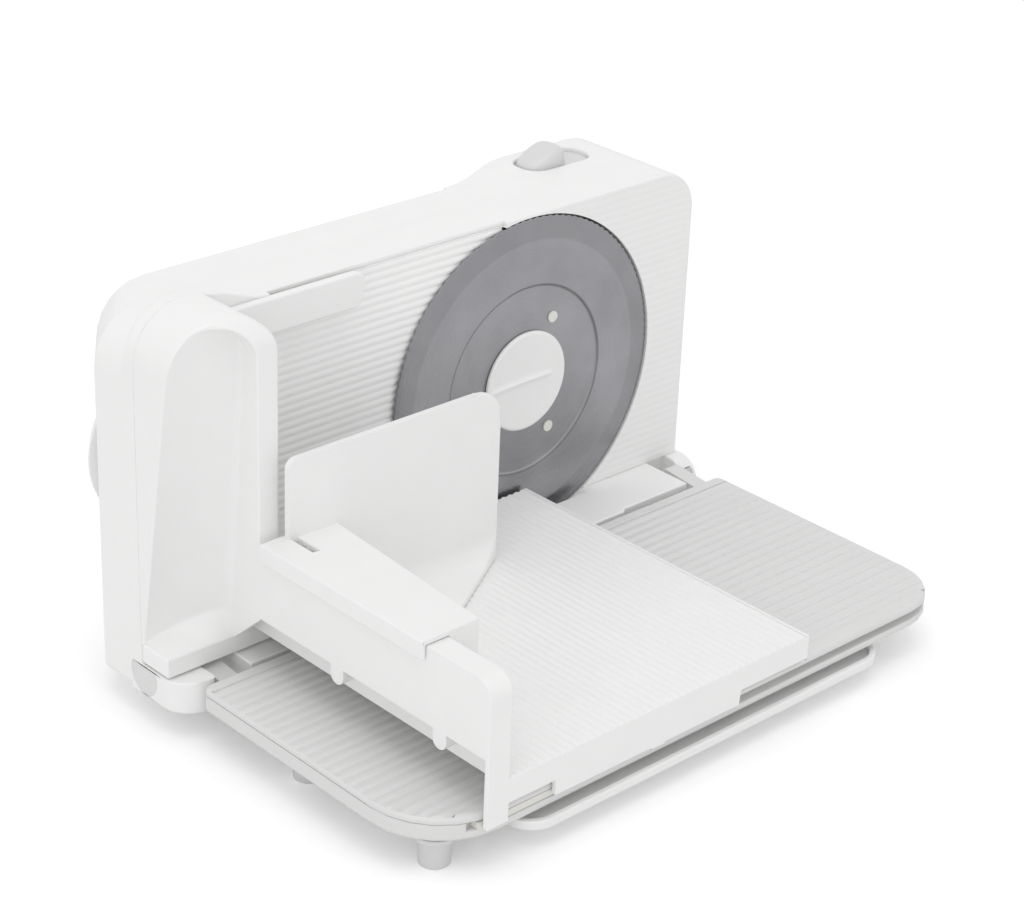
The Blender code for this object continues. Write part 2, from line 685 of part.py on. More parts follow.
def rear_cover():
    start = SHELL_DEPTH + GAP
    rounding = COVER_BACK - COVER_EDGE
    cover = loft("rear_cover", [
        (housing_outline(), start), (housing_outline(0, COVER_INSET), rounding),
        (housing_outline(COVER_EDGE, COVER_INSET), COVER_BACK)], "Y")
    s_curve = []
    for k in range(ARC_STEPS + 1):
        share = k / ARC_STEPS
        s_curve.append((BULGE_START + (BULGE_FULL - BULGE_START) * share,
                        COVER_BACK + (BULGE_BACK - COVER_BACK) * (1 - math.cos(math.pi * share)) / 2))
    right = HOUSING_RIGHT
    corner = (right - BULGE_CORNER, BULGE_BACK - BULGE_CORNER)
    plan = [(BULGE_START, start + OVERRUN)] + s_curve + list(reversed(
        arc(corner, BULGE_CORNER, 0, 90, ARC_STEPS))) + [(right, start + OVERRUN)]
    bulge = prism("bulge_guide", housing_outline(), "Y", start + OVERRUN, BULGE_BACK + OVERRUN)
    keep_inside(bulge, prism("bulge_plan_guide", plan, "Z", HOUSING_BOTTOM - OVERRUN,
                             HOUSING_TOP + OVERRUN))
    join(cover, bulge)
    bores = [cylinder(f"cover_guide_bore_{i}", "Y", (GUIDE_X, z), GUIDE_RADIUS + GAP, 0,
                      PLATE_THICKNESS + GUIDE_LENGTH + GAUGE_TRAVEL + GAP)
             for i, z in enumerate((-GUIDE_Z, GUIDE_Z))]
    spindle_bore = cylinder("cover_spindle_bore", "Y", (0, 0), SPINDLE_RADIUS + GAP, 0,
                            SPINDLE_END + GAP)
    dial_bore = cylinder("cover_dial_bore", "Y", (DIAL_X, DIAL_Z), DIAL_SPINDLE + GAP, 0,
                         COVER_BACK + OVERRUN)
    chute = chute_cutter("cover_chute_cutter", 0, COVER_BACK + OVERRUN)
    switch = prism("switch_pocket_cutter", switch_outline(GAP), "Z", HOUSING_TOP - SWITCH_POCKET,
                   HOUSING_TOP + OVERRUN)
    vents = [block(f"vent_cutter_{k}",
                   (VENT_X + k * VENT_PITCH, BULGE_BACK - VENT_DEPTH, VENT_LOW),
                   (VENT_X + k * VENT_PITCH + VENT_WIDTH, BULGE_BACK + OVERRUN, VENT_LOW + VENT_HEIGHT))
             for k in range(VENT_COUNT)]
    cut(cover, spindle_bore, dial_bore, chute, switch, *bores, *vents)
    return finish(cover, "white_plastic", 30)


def blade_and_drive():
    back = BLADE_THICKNESS
    profile = [
        (BLADE_RADIUS, BLADE_EDGE_Y), (BEVEL_RADIUS, BEVEL_Y), (DISH_RADIUS, DISH_Y),
        (DISH_RADIUS - DISH_STEP, SEAT_Y), (BLADE_HOLE, SEAT_Y), (BLADE_HOLE, SEAT_Y + back),
        (DISH_RADIUS - DISH_STEP, SEAT_Y + back), (DISH_RADIUS, DISH_Y + back),
        (BEVEL_RADIUS, BEVEL_Y + back), (BLADE_RADIUS, BLADE_EDGE_Y + EDGE_THICKNESS)]

    def toothed(radius, index):
        return radius - TOOTH_DEPTH * (index % 2) if radius == BLADE_RADIUS else radius

    blade = turned("blade", profile, TOOTH_COUNT * 2, radius_at=toothed)
    pegs = peg_places()
    cut(blade, *[cylinder(f"blade_peg_cutter_{i}", "Y", place, PEG_RADIUS + GAP, -OVERRUN,
                          SEAT_BACK + OVERRUN, ROUND_STEPS // 2) for i, place in enumerate(pegs)])
    finish(blade, "blade_steel", 20)

    points = []
    for k in range(GEAR_TEETH):
        for share, radius in ((0.0, GEAR_RADIUS - GEAR_TOOTH), (0.3, GEAR_RADIUS - GEAR_TOOTH),
                              (0.5, GEAR_RADIUS), (0.8, GEAR_RADIUS)):
            angle = 2 * math.pi * (k + share) / GEAR_TEETH
            points.append((radius * math.cos(angle), radius * math.sin(angle)))
    gear = prism("drive_gear", points, "Y", GEAR_FRONT, GEAR_BACK)
    join(gear, *[cylinder(f"peg_guide_{i}", "Y", place, PEG_RADIUS, SEAT_Y - PEG_RISE,
                          GEAR_FRONT + SKIN, ROUND_STEPS // 2) for i, place in enumerate(pegs)])
    cut(gear, cylinder("gear_bore_cutter", "Y", (0, 0), SPINDLE_RADIUS + GAP, GEAR_FRONT - OVERRUN,
                       GEAR_BACK + OVERRUN))
    finish(gear, "gear_plastic", 30)

    spindle = cylinder("blade_spindle", "Y", (0, 0), SPINDLE_RADIUS, SEAT_Y + GAP, SPINDLE_END)
    finish(spindle, "steel", 40)

    knob_back = SEAT_Y - GAP
    knob = turned("blade_knob", [
        (0, KNOB_FRONT + KNOB_DISH), (KNOB_RADIUS * 0.86, KNOB_FRONT + KNOB_DISH),
        (KNOB_RADIUS * 0.93, KNOB_FRONT), (KNOB_RADIUS - GAP, KNOB_FRONT),
        (KNOB_RADIUS, KNOB_FRONT + GAP), (KNOB_RADIUS, knob_back), (0, knob_back)], KNOB_STEPS)
    grip = block("knob_grip_guide", (-KNOB_RADIUS * 0.8, KNOB_FRONT, -KNOB_GRIP_WIDTH / 2),
                 (KNOB_RADIUS * 0.8, KNOB_FRONT + KNOB_DISH * 1.5, KNOB_GRIP_WIDTH / 2))
    join(knob, grip)
    finish(knob, "white_plastic", 30)


def peg_places():
    """The drive pegs, evenly spaced round the blade's axis."""
    angles = [math.pi * (2 * k + 1) / PEG_COUNT for k in range(PEG_COUNT)]
    return [(PEG_CIRCLE * math.cos(angle), PEG_CIRCLE * math.sin(angle)) for angle in angles]


def base_outline(inset=0.0):
    return rounded([
        (BASE_LEFT + inset, BASE_FRONT + inset, BASE_CORNER_LEFT - inset),
        (BASE_RIGHT - inset, BASE_FRONT + inset, BASE_CORNER_RIGHT - inset),
        (BASE_RIGHT - inset, BASE_BACK - inset, BASE_CORNER_BACK - inset),
        (BASE_LEFT + inset, BASE_BACK - inset, BASE_CORNER_BACK - inset)])


def folding_base():
    low = BASE_SPLIT + GAP
    ribs = wave(BASE_FRONT + BASE_BORDER, BASE_BACK - BASE_BORDER, BASE_RIB_PITCH, BASE_TOP,
                BASE_TOP - BASE_RIB_DEPTH, low)
    section = [(BASE_FRONT - OVERRUN, low), (BASE_FRONT - OVERRUN, BASE_TOP)] + [
        (BASE_FRONT + BASE_BORDER, BASE_TOP)] + ribs[:-2] + [
        (BASE_BACK - BASE_BORDER, BASE_TOP), (BASE_BACK + OVERRUN, BASE_TOP),
        (BASE_BACK + OVERRUN, low)]
    top = prism("base_top", section, "X", BASE_LEFT - OVERRUN, BASE_RIGHT + OVERRUN)
    rim_height = BASE_TOP - BASE_EDGE
    outline = loft("base_trim_guide", [
        (base_outline(), low - OVERRUN), (base_outline(), rim_height),
        (base_outline(BASE_EDGE * 0.3), BASE_TOP - BASE_EDGE * 0.3),
        (base_outline(BASE_EDGE), BASE_TOP), (base_outline(BASE_EDGE), BASE_TOP + OVERRUN)], "Z")
    keep_inside(top, outline)
    finish(top, "grey_plastic")

    bottom = loft("base_bottom", [
        (base_outline(BASE_EDGE), BASE_BOTTOM), (base_outline(BASE_EDGE * 0.3), BASE_BOTTOM + BASE_EDGE * 0.5),
        (base_outline(), BASE_BOTTOM + BASE_EDGE), (base_outline(), BASE_SPLIT)], "Z")
    for place, start, width in (("left", KNUCKLE_LEFT, KNUCKLE_LEFT_WIDTH),
                                ("right", KNUCKLE_RIGHT, KNUCKLE_RIGHT_WIDTH)):
        arm = arc((HINGE_Y, HINGE_Z), KNUCKLE_RADIUS, -70, 75, ARC_STEPS * 2)
        arm += [(BASE_BACK - OVERRUN, BASE_SPLIT - GAP), (BASE_BACK - OVERRUN, BASE_BOTTOM + BASE_EDGE)]
        join(bottom, prism(f"knuckle_{place}_guide", arm, "X", start, start + width))
        cut(bottom, cylinder(f"knuckle_{place}_bore", "X", (HINGE_Y, HINGE_Z), PIN_RADIUS + GAP,
                             start - OVERRUN, start + width + OVERRUN))
    for side, edge in ((-1, TRAY_LEFT - GAP), (1, TRAY_RIGHT + GAP)):
        wall = sorted((edge, edge + side * RAIL_WALL))
        lip = sorted((edge - side * RAIL_LIP, edge + side * RAIL_WALL))
        lip_top = TRAY_LOW - GAP
        rail = block(f"rail_wall_guide_{side}", (wall[0], TRAY_FRONT + RAIL_LIP * 4, lip_top - GAP),
                     (wall[1], BASE_BACK - BASE_BORDER, BASE_BOTTOM + GAP))
        foot = block(f"rail_lip_guide_{side}", (lip[0], TRAY_FRONT + RAIL_LIP * 4, lip_top - RAIL_THICKNESS),
                     (lip[1], BASE_BACK - BASE_BORDER, lip_top))
        join(bottom, rail, foot)
    groove = block("groove_cutter", (GROOVE_LEFT, BASE_FRONT - OVERRUN, GROOVE_LOW),
                   (GROOVE_RIGHT, BASE_FRONT + GROOVE_DEPTH, BASE_SPLIT + OVERRUN))
    cut(bottom, groove)
    finish(bottom, "grey_plastic", 30)

    finish(cylinder("hinge_pin_left", "X", (HINGE_Y, HINGE_Z), PIN_RADIUS, ARM_RIGHT - PIN_GRIP,
                    KNUCKLE_LEFT + KNUCKLE_LEFT_WIDTH, ROUND_STEPS // 2), "steel", 40)
    finish(cylinder("hinge_pin_right", "X", (HINGE_Y, HINGE_Z), PIN_RADIUS, KNUCKLE_RIGHT,
                    EAR_LEFT + EAR_WIDTH * 0.7, ROUND_STEPS // 2), "steel", 40)


def foot(name, x, y, top):
    """A round rubber foot, a little wider at the top and hollowed below."""
    made = loft(name, [(circle((x, y), radius, FOOT_STEPS), z) for radius, z in (
        (FOOT_RADIUS - FOOT_TAPER, FLOOR), (FOOT_RADIUS, top - FOOT_FLANGE_DEPTH),
        (FOOT_FLANGE, top - FOOT_FLANGE_DEPTH * 0.7), (FOOT_FLANGE, top - GAP))], "Z")
    cut(made, cylinder(f"{name}_cutter", "Z", (x, y), FOOT_RADIUS * 0.5, FLOOR - OVERRUN,
                       FLOOR + FOOT_RECESS, ROUND_STEPS // 2))
    return finish(made, "rubber", 40)


def feet():
    for side, x, places in zip(("left", "right"), BASE_FOOT_X, BASE_FOOT_Y):
        for row, y in zip(("front", "rear"), places):
            foot(f"base_foot_{row}_{side}", x, y, BASE_BOTTOM)
    for i, (x, y) in enumerate(HOUSING_FEET, 1):
        foot(f"housing_foot_{i}", x, y, HOUSING_BOTTOM)


def slice_tray():
    def outline(inset):
        return rounded([
            (TRAY_LEFT + inset, TRAY_FRONT + inset, TRAY_CORNER - inset),
            (TRAY_RIGHT - inset, TRAY_FRONT + inset, TRAY_CORNER - inset),
            (TRAY_RIGHT - inset, TRAY_BACK - inset, SKIN), (TRAY_LEFT + inset, TRAY_BACK - inset, SKIN)])
    tray = prism("slice_tray", outline(0), "Z", TRAY_LOW, TRAY_TOP)
    cut(tray, prism("tray_cutter", outline(TRAY_RIM), "Z", TRAY_LOW + TRAY_FLOOR, TRAY_TOP + OVERRUN))
    return finish(tray, "white_plastic")


def panel_line(z, back=0.0):
    """The guard's sloping front: how far forward it stands at a height."""
    return PANEL_Y + PANEL_SLOPE * z + back


def guard_outline(inset=0.0):
    """The guard seen from the front: an arch on two legs."""
    right = TABLE_LEFT - inset
    low = FLANGE_LOW + inset
    radius = GUARD_RADIUS - inset
    centre = (TABLE_LEFT - GUARD_RADIUS, ARCH_TOP - GUARD_RADIUS)
    left_side = [(x, z) for x, z in arch_line(inset)]
    left_side[0] = (HOUSING_LEFT + inset, left_side[0][1])
    return ([(right, low)] + [(x, z) for x, z in arc(centre, radius, 0, 90, ARC_STEPS)]
            + list(reversed(left_side)) + [(HOUSING_LEFT + inset, low)])


def guard(carriage):
    """The arched guard on the carriage's left, its finger tab and the flange it stands on."""
    body = prism("guard_guide", guard_outline(), "Y", GUARD_FRONT, GUARD_BACK)
    front_cut = prism("guard_front_cutter", [
        (GUARD_FRONT - OVERRUN, ARCH_TOP + OVERRUN), (GUARD_FRONT - OVERRUN, FLANGE_LOW - OVERRUN),
        (panel_line(FLANGE_LOW - OVERRUN), FLANGE_LOW - OVERRUN),
        (panel_line(ARCH_TOP + OVERRUN), ARCH_TOP + OVERRUN)], "X", HOUSING_LEFT - OVERRUN, FENCE_LEFT)
    keep_inside(front_cut, prism("guard_band_guide", rounded([
        (HOUSING_LEFT - OVERRUN * 2, FLANGE_LOW - OVERRUN * 2, 0),
        (FENCE_LEFT + OVERRUN, FLANGE_LOW - OVERRUN * 2, 0),
        (FENCE_LEFT + OVERRUN, BAND_TOP, BAND_CORNER), (HOUSING_LEFT - OVERRUN * 2, BAND_TOP, 0)]),
        "Y", GUARD_FRONT - OVERRUN * 2, 0))
    band_cut = loft("guard_band_cutter", [([
        (HOUSING_LEFT - OVERRUN, GUARD_FRONT - OVERRUN), (FENCE_LEFT, GUARD_FRONT - OVERRUN),
        (FENCE_LEFT, GUARD_FRONT), (BAND_END, panel_line(z) - GAP),
        (HOUSING_LEFT - OVERRUN, panel_line(z) - GAP)], z)
        for z in (BAND_TOP - GUARD_RADIUS, ARCH_TOP + OVERRUN)], "Z")
    foot_cut = block("guard_foot_cutter", (FENCE_LEFT - OVERRUN, GUARD_FRONT - OVERRUN, FLANGE_LOW - OVERRUN),
                     (TABLE_LEFT + OVERRUN, FLANGE_FRONT, FENCE_LOW))
    centre = (GUARD_FRONT + GUARD_ROUND, ARCH_TOP - GUARD_ROUND)
    nose_cut = prism("guard_nose_cutter", [
        (GUARD_FRONT - OVERRUN, ARCH_TOP + OVERRUN), (GUARD_FRONT - OVERRUN, centre[1]),
        *reversed(arc(centre, GUARD_ROUND, 90, 180, ARC_STEPS)), (centre[0], ARCH_TOP + OVERRUN)],
        "X", HOUSING_LEFT - OVERRUN, TABLE_LEFT + OVERRUN)
    hollow = prism("guard_hollow_cutter", guard_outline(SKIN), "Y", GUARD_FRONT, GUARD_BACK + OVERRUN)
    keep_inside(hollow, prism("hollow_trim_guide", [
        (GUARD_BACK + OVERRUN, FLANGE_TOP), (GUARD_BACK + OVERRUN, ARCH_TOP),
        (panel_line(ARCH_TOP, SKIN), ARCH_TOP), (panel_line(FLANGE_TOP, SKIN), FLANGE_TOP)],
        "X", HOUSING_LEFT, FENCE_LEFT))
    cut(body, front_cut, band_cut, nose_cut, foot_cut, hollow)
    flange = block("flange_guide", (HOUSING_LEFT, FLANGE_FRONT, FLANGE_LOW),
                   (TABLE_LEFT, GUARD_BACK, FLANGE_TOP))
    tab = prism("tab_guide", rounded([
        (TABLE_LEFT - SKIN, TAB_LOW, 0), (TAB_RIGHT - TAB_SLANT, TAB_LOW, SKIN),
        (TAB_RIGHT, TAB_TOP, TAB_CORNER), (TABLE_LEFT - SKIN, TAB_TOP, 0)]), "Y", TAB_FRONT, GUARD_BACK)
    join(carriage, body, flange, tab)


def fence(carriage):
    """The hollow wall between the table and the free left side, with its leg at the front."""
    nose = (TABLE_FRONT + FENCE_NOSE, FENCE_TOP - FENCE_NOSE)
    profile = [(TABLE_FRONT, FENCE_LOW)] + list(reversed(arc(nose, FENCE_NOSE, 90, 180, ARC_STEPS))) + [
        (GUARD_FRONT + SKIN, FENCE_TOP), (GUARD_FRONT + SKIN, FENCE_LOW)]
    wall = prism("fence_guide", profile, "X", FENCE_LEFT, FENCE_RIGHT)
    skirt = block("fence_skirt_guide", (FENCE_RIGHT - SKIN, TABLE_FRONT + SKIN, TABLE_TOP - TABLE_THICKNESS),
                  (FENCE_RIGHT, FLANGE_FRONT + SKIN, FENCE_LOW + SKIN))
    hollow = block("fence_hollow_cutter", (FENCE_LEFT + SKIN, TABLE_FRONT + SKIN, FENCE_LOW - OVERRUN),
                   (FENCE_RIGHT - SKIN, GUARD_FRONT - GAP, FENCE_TOP - SKIN))
    cut(wall, hollow)
    leg = block("leg_guide", (FENCE_LEFT, TABLE_FRONT, LEG_LOW),
                (FENCE_RIGHT, TABLE_FRONT + SKIN, FENCE_LOW + SKIN))
    tongues = [prism(f"tongue_guide_{i}", arc((y, FENCE_LOW - TONGUE_DROP), TONGUE_RADIUS, 180, 360,
                                              ARC_STEPS * 2)
                     + [(y + TONGUE_RADIUS, FENCE_LOW + SKIN), (y - TONGUE_RADIUS, FENCE_LOW + SKIN)],
                     "X", FENCE_LEFT, FENCE_RIGHT - GAP) for i, y in enumerate(TONGUE_Y)]
    join(carriage, wall, skirt, leg, *tongues)


def carriage():
    under = TABLE_TOP - TABLE_THICKNESS
    section = wave(TABLE_LEFT, TABLE_RIGHT - SKIN, TABLE_RIB_PITCH, TABLE_TOP,
                   TABLE_TOP - TABLE_RIB_DEPTH, under)[:-2]
    section += [(TABLE_RIGHT - SKIN, TABLE_TOP), (TABLE_RIGHT, TABLE_TOP - TABLE_RIB_DEPTH),
                (TABLE_RIGHT, under), (TABLE_LEFT, under)]
    table = prism("carriage", section, "Y", TABLE_FRONT, TABLE_BACK)
    front = prism("front_skirt_guide", [
        (TABLE_LEFT - SKIN, under + GAP), (TABLE_LEFT - SKIN, SKIRT_SHALLOW),
        (SKIRT_DEEP_LEFT, SKIRT_SHALLOW), (SKIRT_DEEP_LEFT, SKIRT_DEEP), (SKIRT_DEEP_RIGHT, SKIRT_DEEP),
        (SKIRT_DEEP_RIGHT, SKIRT_SHALLOW), (TABLE_RIGHT, SKIRT_SHALLOW), (TABLE_RIGHT, under + GAP)],
        "Y", TABLE_FRONT, TABLE_FRONT + SKIN)
    right = block("right_skirt_guide", (TABLE_RIGHT - SKIN, TABLE_FRONT + GAP, SKIRT_RUN),
                  (TABLE_RIGHT, TABLE_BACK - GAP, under + GAP))
    back = block("back_skirt_guide", (TABLE_LEFT - SKIN, TABLE_BACK - SKIN, SKIRT_RUN),
                 (TABLE_RIGHT, TABLE_BACK, under + GAP))
    join(table, front, right, back)
    fence(table)
    guard(table)
    hooks = [block(f"hook_guide_{i}", (x - HOOK_WIDTH / 2, TABLE_FRONT + GAP, HOOK_LOW),
                   (x + HOOK_WIDTH / 2, TABLE_FRONT + HOOK_REACH, HOOK_HIGH))
             for i, x in enumerate(HOOK_X)]
    hook_leg = block("hook_leg_guide", (HOOK_X[1] - HOOK_WIDTH / 2, TABLE_FRONT, HOOK_LOW),
                     (HOOK_X[1] + HOOK_WIDTH / 2, TABLE_FRONT + SKIN, SKIRT_DEEP + SKIN))
    join(table, hook_leg, *hooks)
    return finish(table, "white_plastic", 30)


def carriage_glide():
    """The slippery bar in the base's groove that the carriage's two hooks clip into."""
    back = BASE_FRONT + GROOVE_DEPTH - GAP
    glide = block("carriage_glide", (GLIDE_LEFT, back - GLIDE_DEPTH, GROOVE_LOW + GAP),
                  (GLIDE_RIGHT, back, BASE_SPLIT - GAP))
    cut(glide, *[block(f"glide_notch_cutter_{i}",
                       (x - HOOK_WIDTH / 2 - GAP, BASE_FRONT - OVERRUN, GROOVE_LOW - OVERRUN),
                       (x + HOOK_WIDTH / 2 + GAP, TABLE_FRONT + HOOK_REACH + GAP, BASE_SPLIT + OVERRUN))
                 for i, x in enumerate(HOOK_X)])
    return finish(glide, "gear_plastic")


def holder():
    """The remnant holder: a cap that rides on the fence, a pusher plate and a scoop floor."""
    low = TABLE_TOP + GAP
    front = HOLDER_BACK - HOLDER_THICKNESS
    plate = prism("holder", rounded([
        (CAP_RIGHT - CAP_WALL, low, 0), (HOLDER_RIGHT, low, 0),
        (HOLDER_RIGHT, HOLDER_TOP, HOLDER_CORNER_RIGHT),
        (TABLE_LEFT + HOLDER_LIP, HOLDER_TOP, HOLDER_CORNER_LEFT),
        (TABLE_LEFT + HOLDER_LIP, CAP_TOP - CAP_WALL / 2, 0),
        (CAP_RIGHT - CAP_WALL, CAP_TOP - CAP_WALL / 2, 0)]), "Y", front, HOLDER_BACK)
    near_right = CAP_RIGHT - CAP_TAPER
    cap = prism("cap_guide", [(CAP_LEFT, CAP_FRONT), (near_right, CAP_FRONT), (CAP_RIGHT, CAP_BACK),
                              (CAP_LEFT, CAP_BACK)], "Z", CAP_TOP - CAP_WALL - GAP, CAP_TOP)
    outer = block("cap_skirt_guide", (CAP_LEFT, CAP_FRONT, CAP_SKIRT),
                  (CAP_LEFT + CAP_WALL, CAP_BACK, CAP_TOP - GAP))
    inner = block("cap_guide_rib_guide", (FENCE_RIGHT + GAP, CAP_FRONT, CAP_GUIDE),
                  (FENCE_RIGHT + GAP + CAP_WALL, CAP_BACK, CAP_TOP - GAP))
    end = block("cap_end_guide", (FENCE_RIGHT + GAP * 2, CAP_FRONT, CAP_SKIRT),
                (near_right - GAP, CAP_FRONT + CAP_WALL, CAP_TOP - GAP))
    side = prism("cap_side_guide", [
        (near_right - CAP_WALL, CAP_FRONT), (near_right, CAP_FRONT), (CAP_RIGHT, HOLDER_BACK),
        (CAP_RIGHT - CAP_WALL, HOLDER_BACK)], "Z", low, CAP_TOP - GAP)
    keep_inside(side, prism("cap_side_trim_guide", [
        (CAP_FRONT - OVERRUN, CAP_TOP), (CAP_FRONT - OVERRUN, CAP_GUIDE),
        (HOLDER_BACK - SCOOP_DEPTH, low - OVERRUN), (HOLDER_BACK + OVERRUN, low - OVERRUN),
        (HOLDER_BACK + OVERRUN, CAP_TOP)], "X", near_right - OVERRUN, CAP_RIGHT + OVERRUN))
    start, reach = front + GAP, front - SCOOP_DEPTH
    centre = (front - SCOOP_ROUND, SCOOP_TOP + SCOOP_ROUND)
    scoop = prism("scoop_guide", [(start, low), (reach - OVERRUN, low), (reach - OVERRUN, SCOOP_TOP)]
                  + arc(centre, SCOOP_ROUND, -90, 0, ARC_STEPS) + [(start, centre[1])],
                  "X", near_right, HOLDER_RIGHT)
    keep_inside(scoop, prism("scoop_trim_guide", [
        (CAP_RIGHT - GAP, start + OVERRUN), (CAP_RIGHT - CAP_TAPER * SCOOP_DEPTH / (CAP_BACK - CAP_FRONT)
                                             - GAP, reach),
        (CAP_RIGHT + OVERRUN, reach), (HOLDER_RIGHT - GAP, front),
        (HOLDER_RIGHT - GAP, start + OVERRUN)], "Z", low - OVERRUN, HOLDER_TOP))
    join(plate, cap, outer, inner, end, side, scoop)
    slot_x = TABLE_LEFT + SLOT_WIDTH * 0.3
    cut(plate, block("cap_slot_cutter", (slot_x - SLOT_WIDTH / 2, front - SLOT_LENGTH, CAP_TOP - OVERRUN),
                     (slot_x + SLOT_WIDTH / 2, front, CAP_TOP + OVERRUN)))
    return finish(plate, "white_plastic")


def thickness_dial():
    start = COVER_BACK + GAP
    ring = turned("dial_scale", [
        (SCALE_RADIUS, start), (SCALE_RADIUS, start + SCALE_DEPTH), (DIAL_RADIUS + GAP, start + SCALE_DEPTH),
        (DIAL_RADIUS + GAP, start)], KNOB_STEPS, centre=(DIAL_X, DIAL_Z))
    finish(ring, "grey_plastic", 30)
    back = start + DIAL_DEPTH
    dial = turned("thickness_dial", [
        (0, start), (DIAL_RADIUS, start), (DIAL_RADIUS, start + DIAL_DEPTH * 0.8),
        (DIAL_RADIUS * 0.95, back), (0, back)], KNOB_STEPS, centre=(DIAL_X, DIAL_Z))
    grip = block("dial_grip_guide",
                 (DIAL_X - DIAL_GRIP_WIDTH / 2, back - GAP, DIAL_Z - DIAL_RADIUS * 0.85),
                 (DIAL_X + DIAL_GRIP_WIDTH / 2, back + DIAL_GRIP_RISE, DIAL_Z + DIAL_RADIUS * 0.85))
    join(dial, grip)
    finish(dial, "grey_plastic", 30)
    finish(cylinder("dial_spindle", "Y", (DIAL_X, DIAL_Z), DIAL_SPINDLE, POCKET_BACK + GAP,
                    start - GAP, ROUND_STEPS // 2), "steel", 40)


def switch_outline(grow=0.0):
    left, right = SWITCH_LEFT - grow, SWITCH_RIGHT + grow
    near, far = SWITCH_FRONT - grow, SWITCH_BACK + grow
    return rounded([(left, near, SWITCH_CORNER), (right, near, SWITCH_CORNER),
                    (right, far, SWITCH_CORNER), (left, far, SWITCH_CORNER)])


def power_switch():
    floor_z = HOUSING_TOP - SWITCH_POCKET + GAP
    finish(prism("switch_plate", switch_outline(), "Z", floor_z, floor_z + SWITCH_PLATE), "grey_plastic")
    start = floor_z + SWITCH_PLATE + GAP
    inner = GAP * 3
    right = SWITCH_LEFT + SLIDER_LENGTH
    slider = prism("power_switch", rounded([
        (SWITCH_LEFT + inner, SWITCH_FRONT + inner, SWITCH_CORNER),
        (right, SWITCH_FRONT + inner, SWITCH_CORNER * 0.7), (right, SWITCH_BACK - inner, SWITCH_CORNER * 0.7),
        (SWITCH_LEFT + inner, SWITCH_BACK - inner, SWITCH_CORNER)]), "Z", start,
        HOUSING_TOP + SLIDER_HIGH_RISE)
    dome = prism("slider_dome_guide", [
        (SWITCH_LEFT, start - OVERRUN), (right + OVERRUN, start - OVERRUN),
        (right + OVERRUN, HOUSING_TOP + SLIDER_HIGH_RISE * 0.7),
        (right - SKIN, HOUSING_TOP + SLIDER_HIGH_RISE),
        (right - SLIDER_LENGTH * 0.3, HOUSING_TOP + SLIDER_HIGH_RISE),
        (SWITCH_LEFT, HOUSING_TOP + SLIDER_LOW_RISE)], "Y", SWITCH_FRONT, SWITCH_BACK)
    keep_inside(slider, dome)
    finish(slider, "grey_plastic", 30)


def release_button():
    start = HOUSING_LEFT + BUTTON_SINK
    return finish(prism("fold_button", button_outline(), "X", start, start + BUTTON_THICKNESS),
                  "grey_plastic", 30)


def build():
    clear_scene()
    make_origin()
    front_shell()
    face_plates()
    rear_cover()
    blade_and_drive()
    folding_base()
    feet()
    slice_tray()
    carriage()
    carriage_glide()
    holder()
    thickness_dial()
    power_switch()
    release_button()


build()
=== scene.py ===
"""Looks for the folding food slicer: moulded plastics, the ground blade, and the photograph's view."""
import json
import math

import bmesh
import bpy
import numpy as np
from mathutils import Matrix, Vector


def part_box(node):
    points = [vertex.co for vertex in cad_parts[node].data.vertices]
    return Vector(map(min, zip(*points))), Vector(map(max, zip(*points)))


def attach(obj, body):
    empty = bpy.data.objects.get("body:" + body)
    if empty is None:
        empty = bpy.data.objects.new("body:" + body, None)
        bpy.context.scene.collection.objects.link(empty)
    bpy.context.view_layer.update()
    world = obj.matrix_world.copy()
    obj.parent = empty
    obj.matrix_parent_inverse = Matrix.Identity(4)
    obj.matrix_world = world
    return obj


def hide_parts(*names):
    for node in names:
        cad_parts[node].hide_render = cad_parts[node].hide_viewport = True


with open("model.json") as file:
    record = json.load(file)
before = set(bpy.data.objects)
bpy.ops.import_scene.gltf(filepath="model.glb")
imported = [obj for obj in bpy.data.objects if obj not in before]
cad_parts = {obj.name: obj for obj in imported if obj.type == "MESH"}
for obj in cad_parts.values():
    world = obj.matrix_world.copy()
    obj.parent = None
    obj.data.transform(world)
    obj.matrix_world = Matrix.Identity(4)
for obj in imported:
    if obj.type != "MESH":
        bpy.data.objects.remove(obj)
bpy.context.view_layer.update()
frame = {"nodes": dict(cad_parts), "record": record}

BODIES = frame["record"]["behaviour"]["bodies"]
BODY_OF = {node: body for body, nodes in BODIES.items() for node in nodes}
SLOT_OF = {row["node"]: row["material_slot"] for row in frame["record"]["subparts"]}

# The point where the blade's axis meets the gauge plate's crests; all places below are seen from it
blade_low, blade_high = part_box("blade")
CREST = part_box("gauge_plate")[0].y
PLACE = np.array([(blade_low.x + blade_high.x) / 2, CREST, (blade_low.z + blade_high.z) / 2])


# Materials

NOISE_SPAN = (0.3, 0.7)
BUMP_STRENGTH = 0.25
PLASTIC_IOR = 1.49
CLOUD_SCALE, GLOSS_SCALE = 55.0, 240.0
CLOUD_SHADE, GLOSS_SPREAD = 0.985, 0.04
RING_SCALE, RING_DEPTH = 2600.0, 0.00003
STEEL_CLOUD_SCALE, STEEL_CLOUD_SHADE = 38.0, 0.86
ROD_CLOUD_SCALE, ROD_CLOUD_SHADE, ROD_GLOSS_SCALE = 900.0, 0.9, 1500.0
BEVEL_SPAN, BEVEL_SHADE = (0.0723, 0.0735), 0.88
# The seat's radius, and the painted shadow at its step: a dark line, its span from the step and its
# shade
SEAT_RADIUS, STEP_SHADOW_SPAN, STEP_SHADOW_SHADE = 0.0496, (0.0002, 0.0009), 0.62


def shader_of(name):
    """A new node material and its Principled shader."""
    made = bpy.data.materials.new(name)
    made.use_nodes = True
    return made, made.node_tree, made.node_tree.nodes["Principled BSDF"]


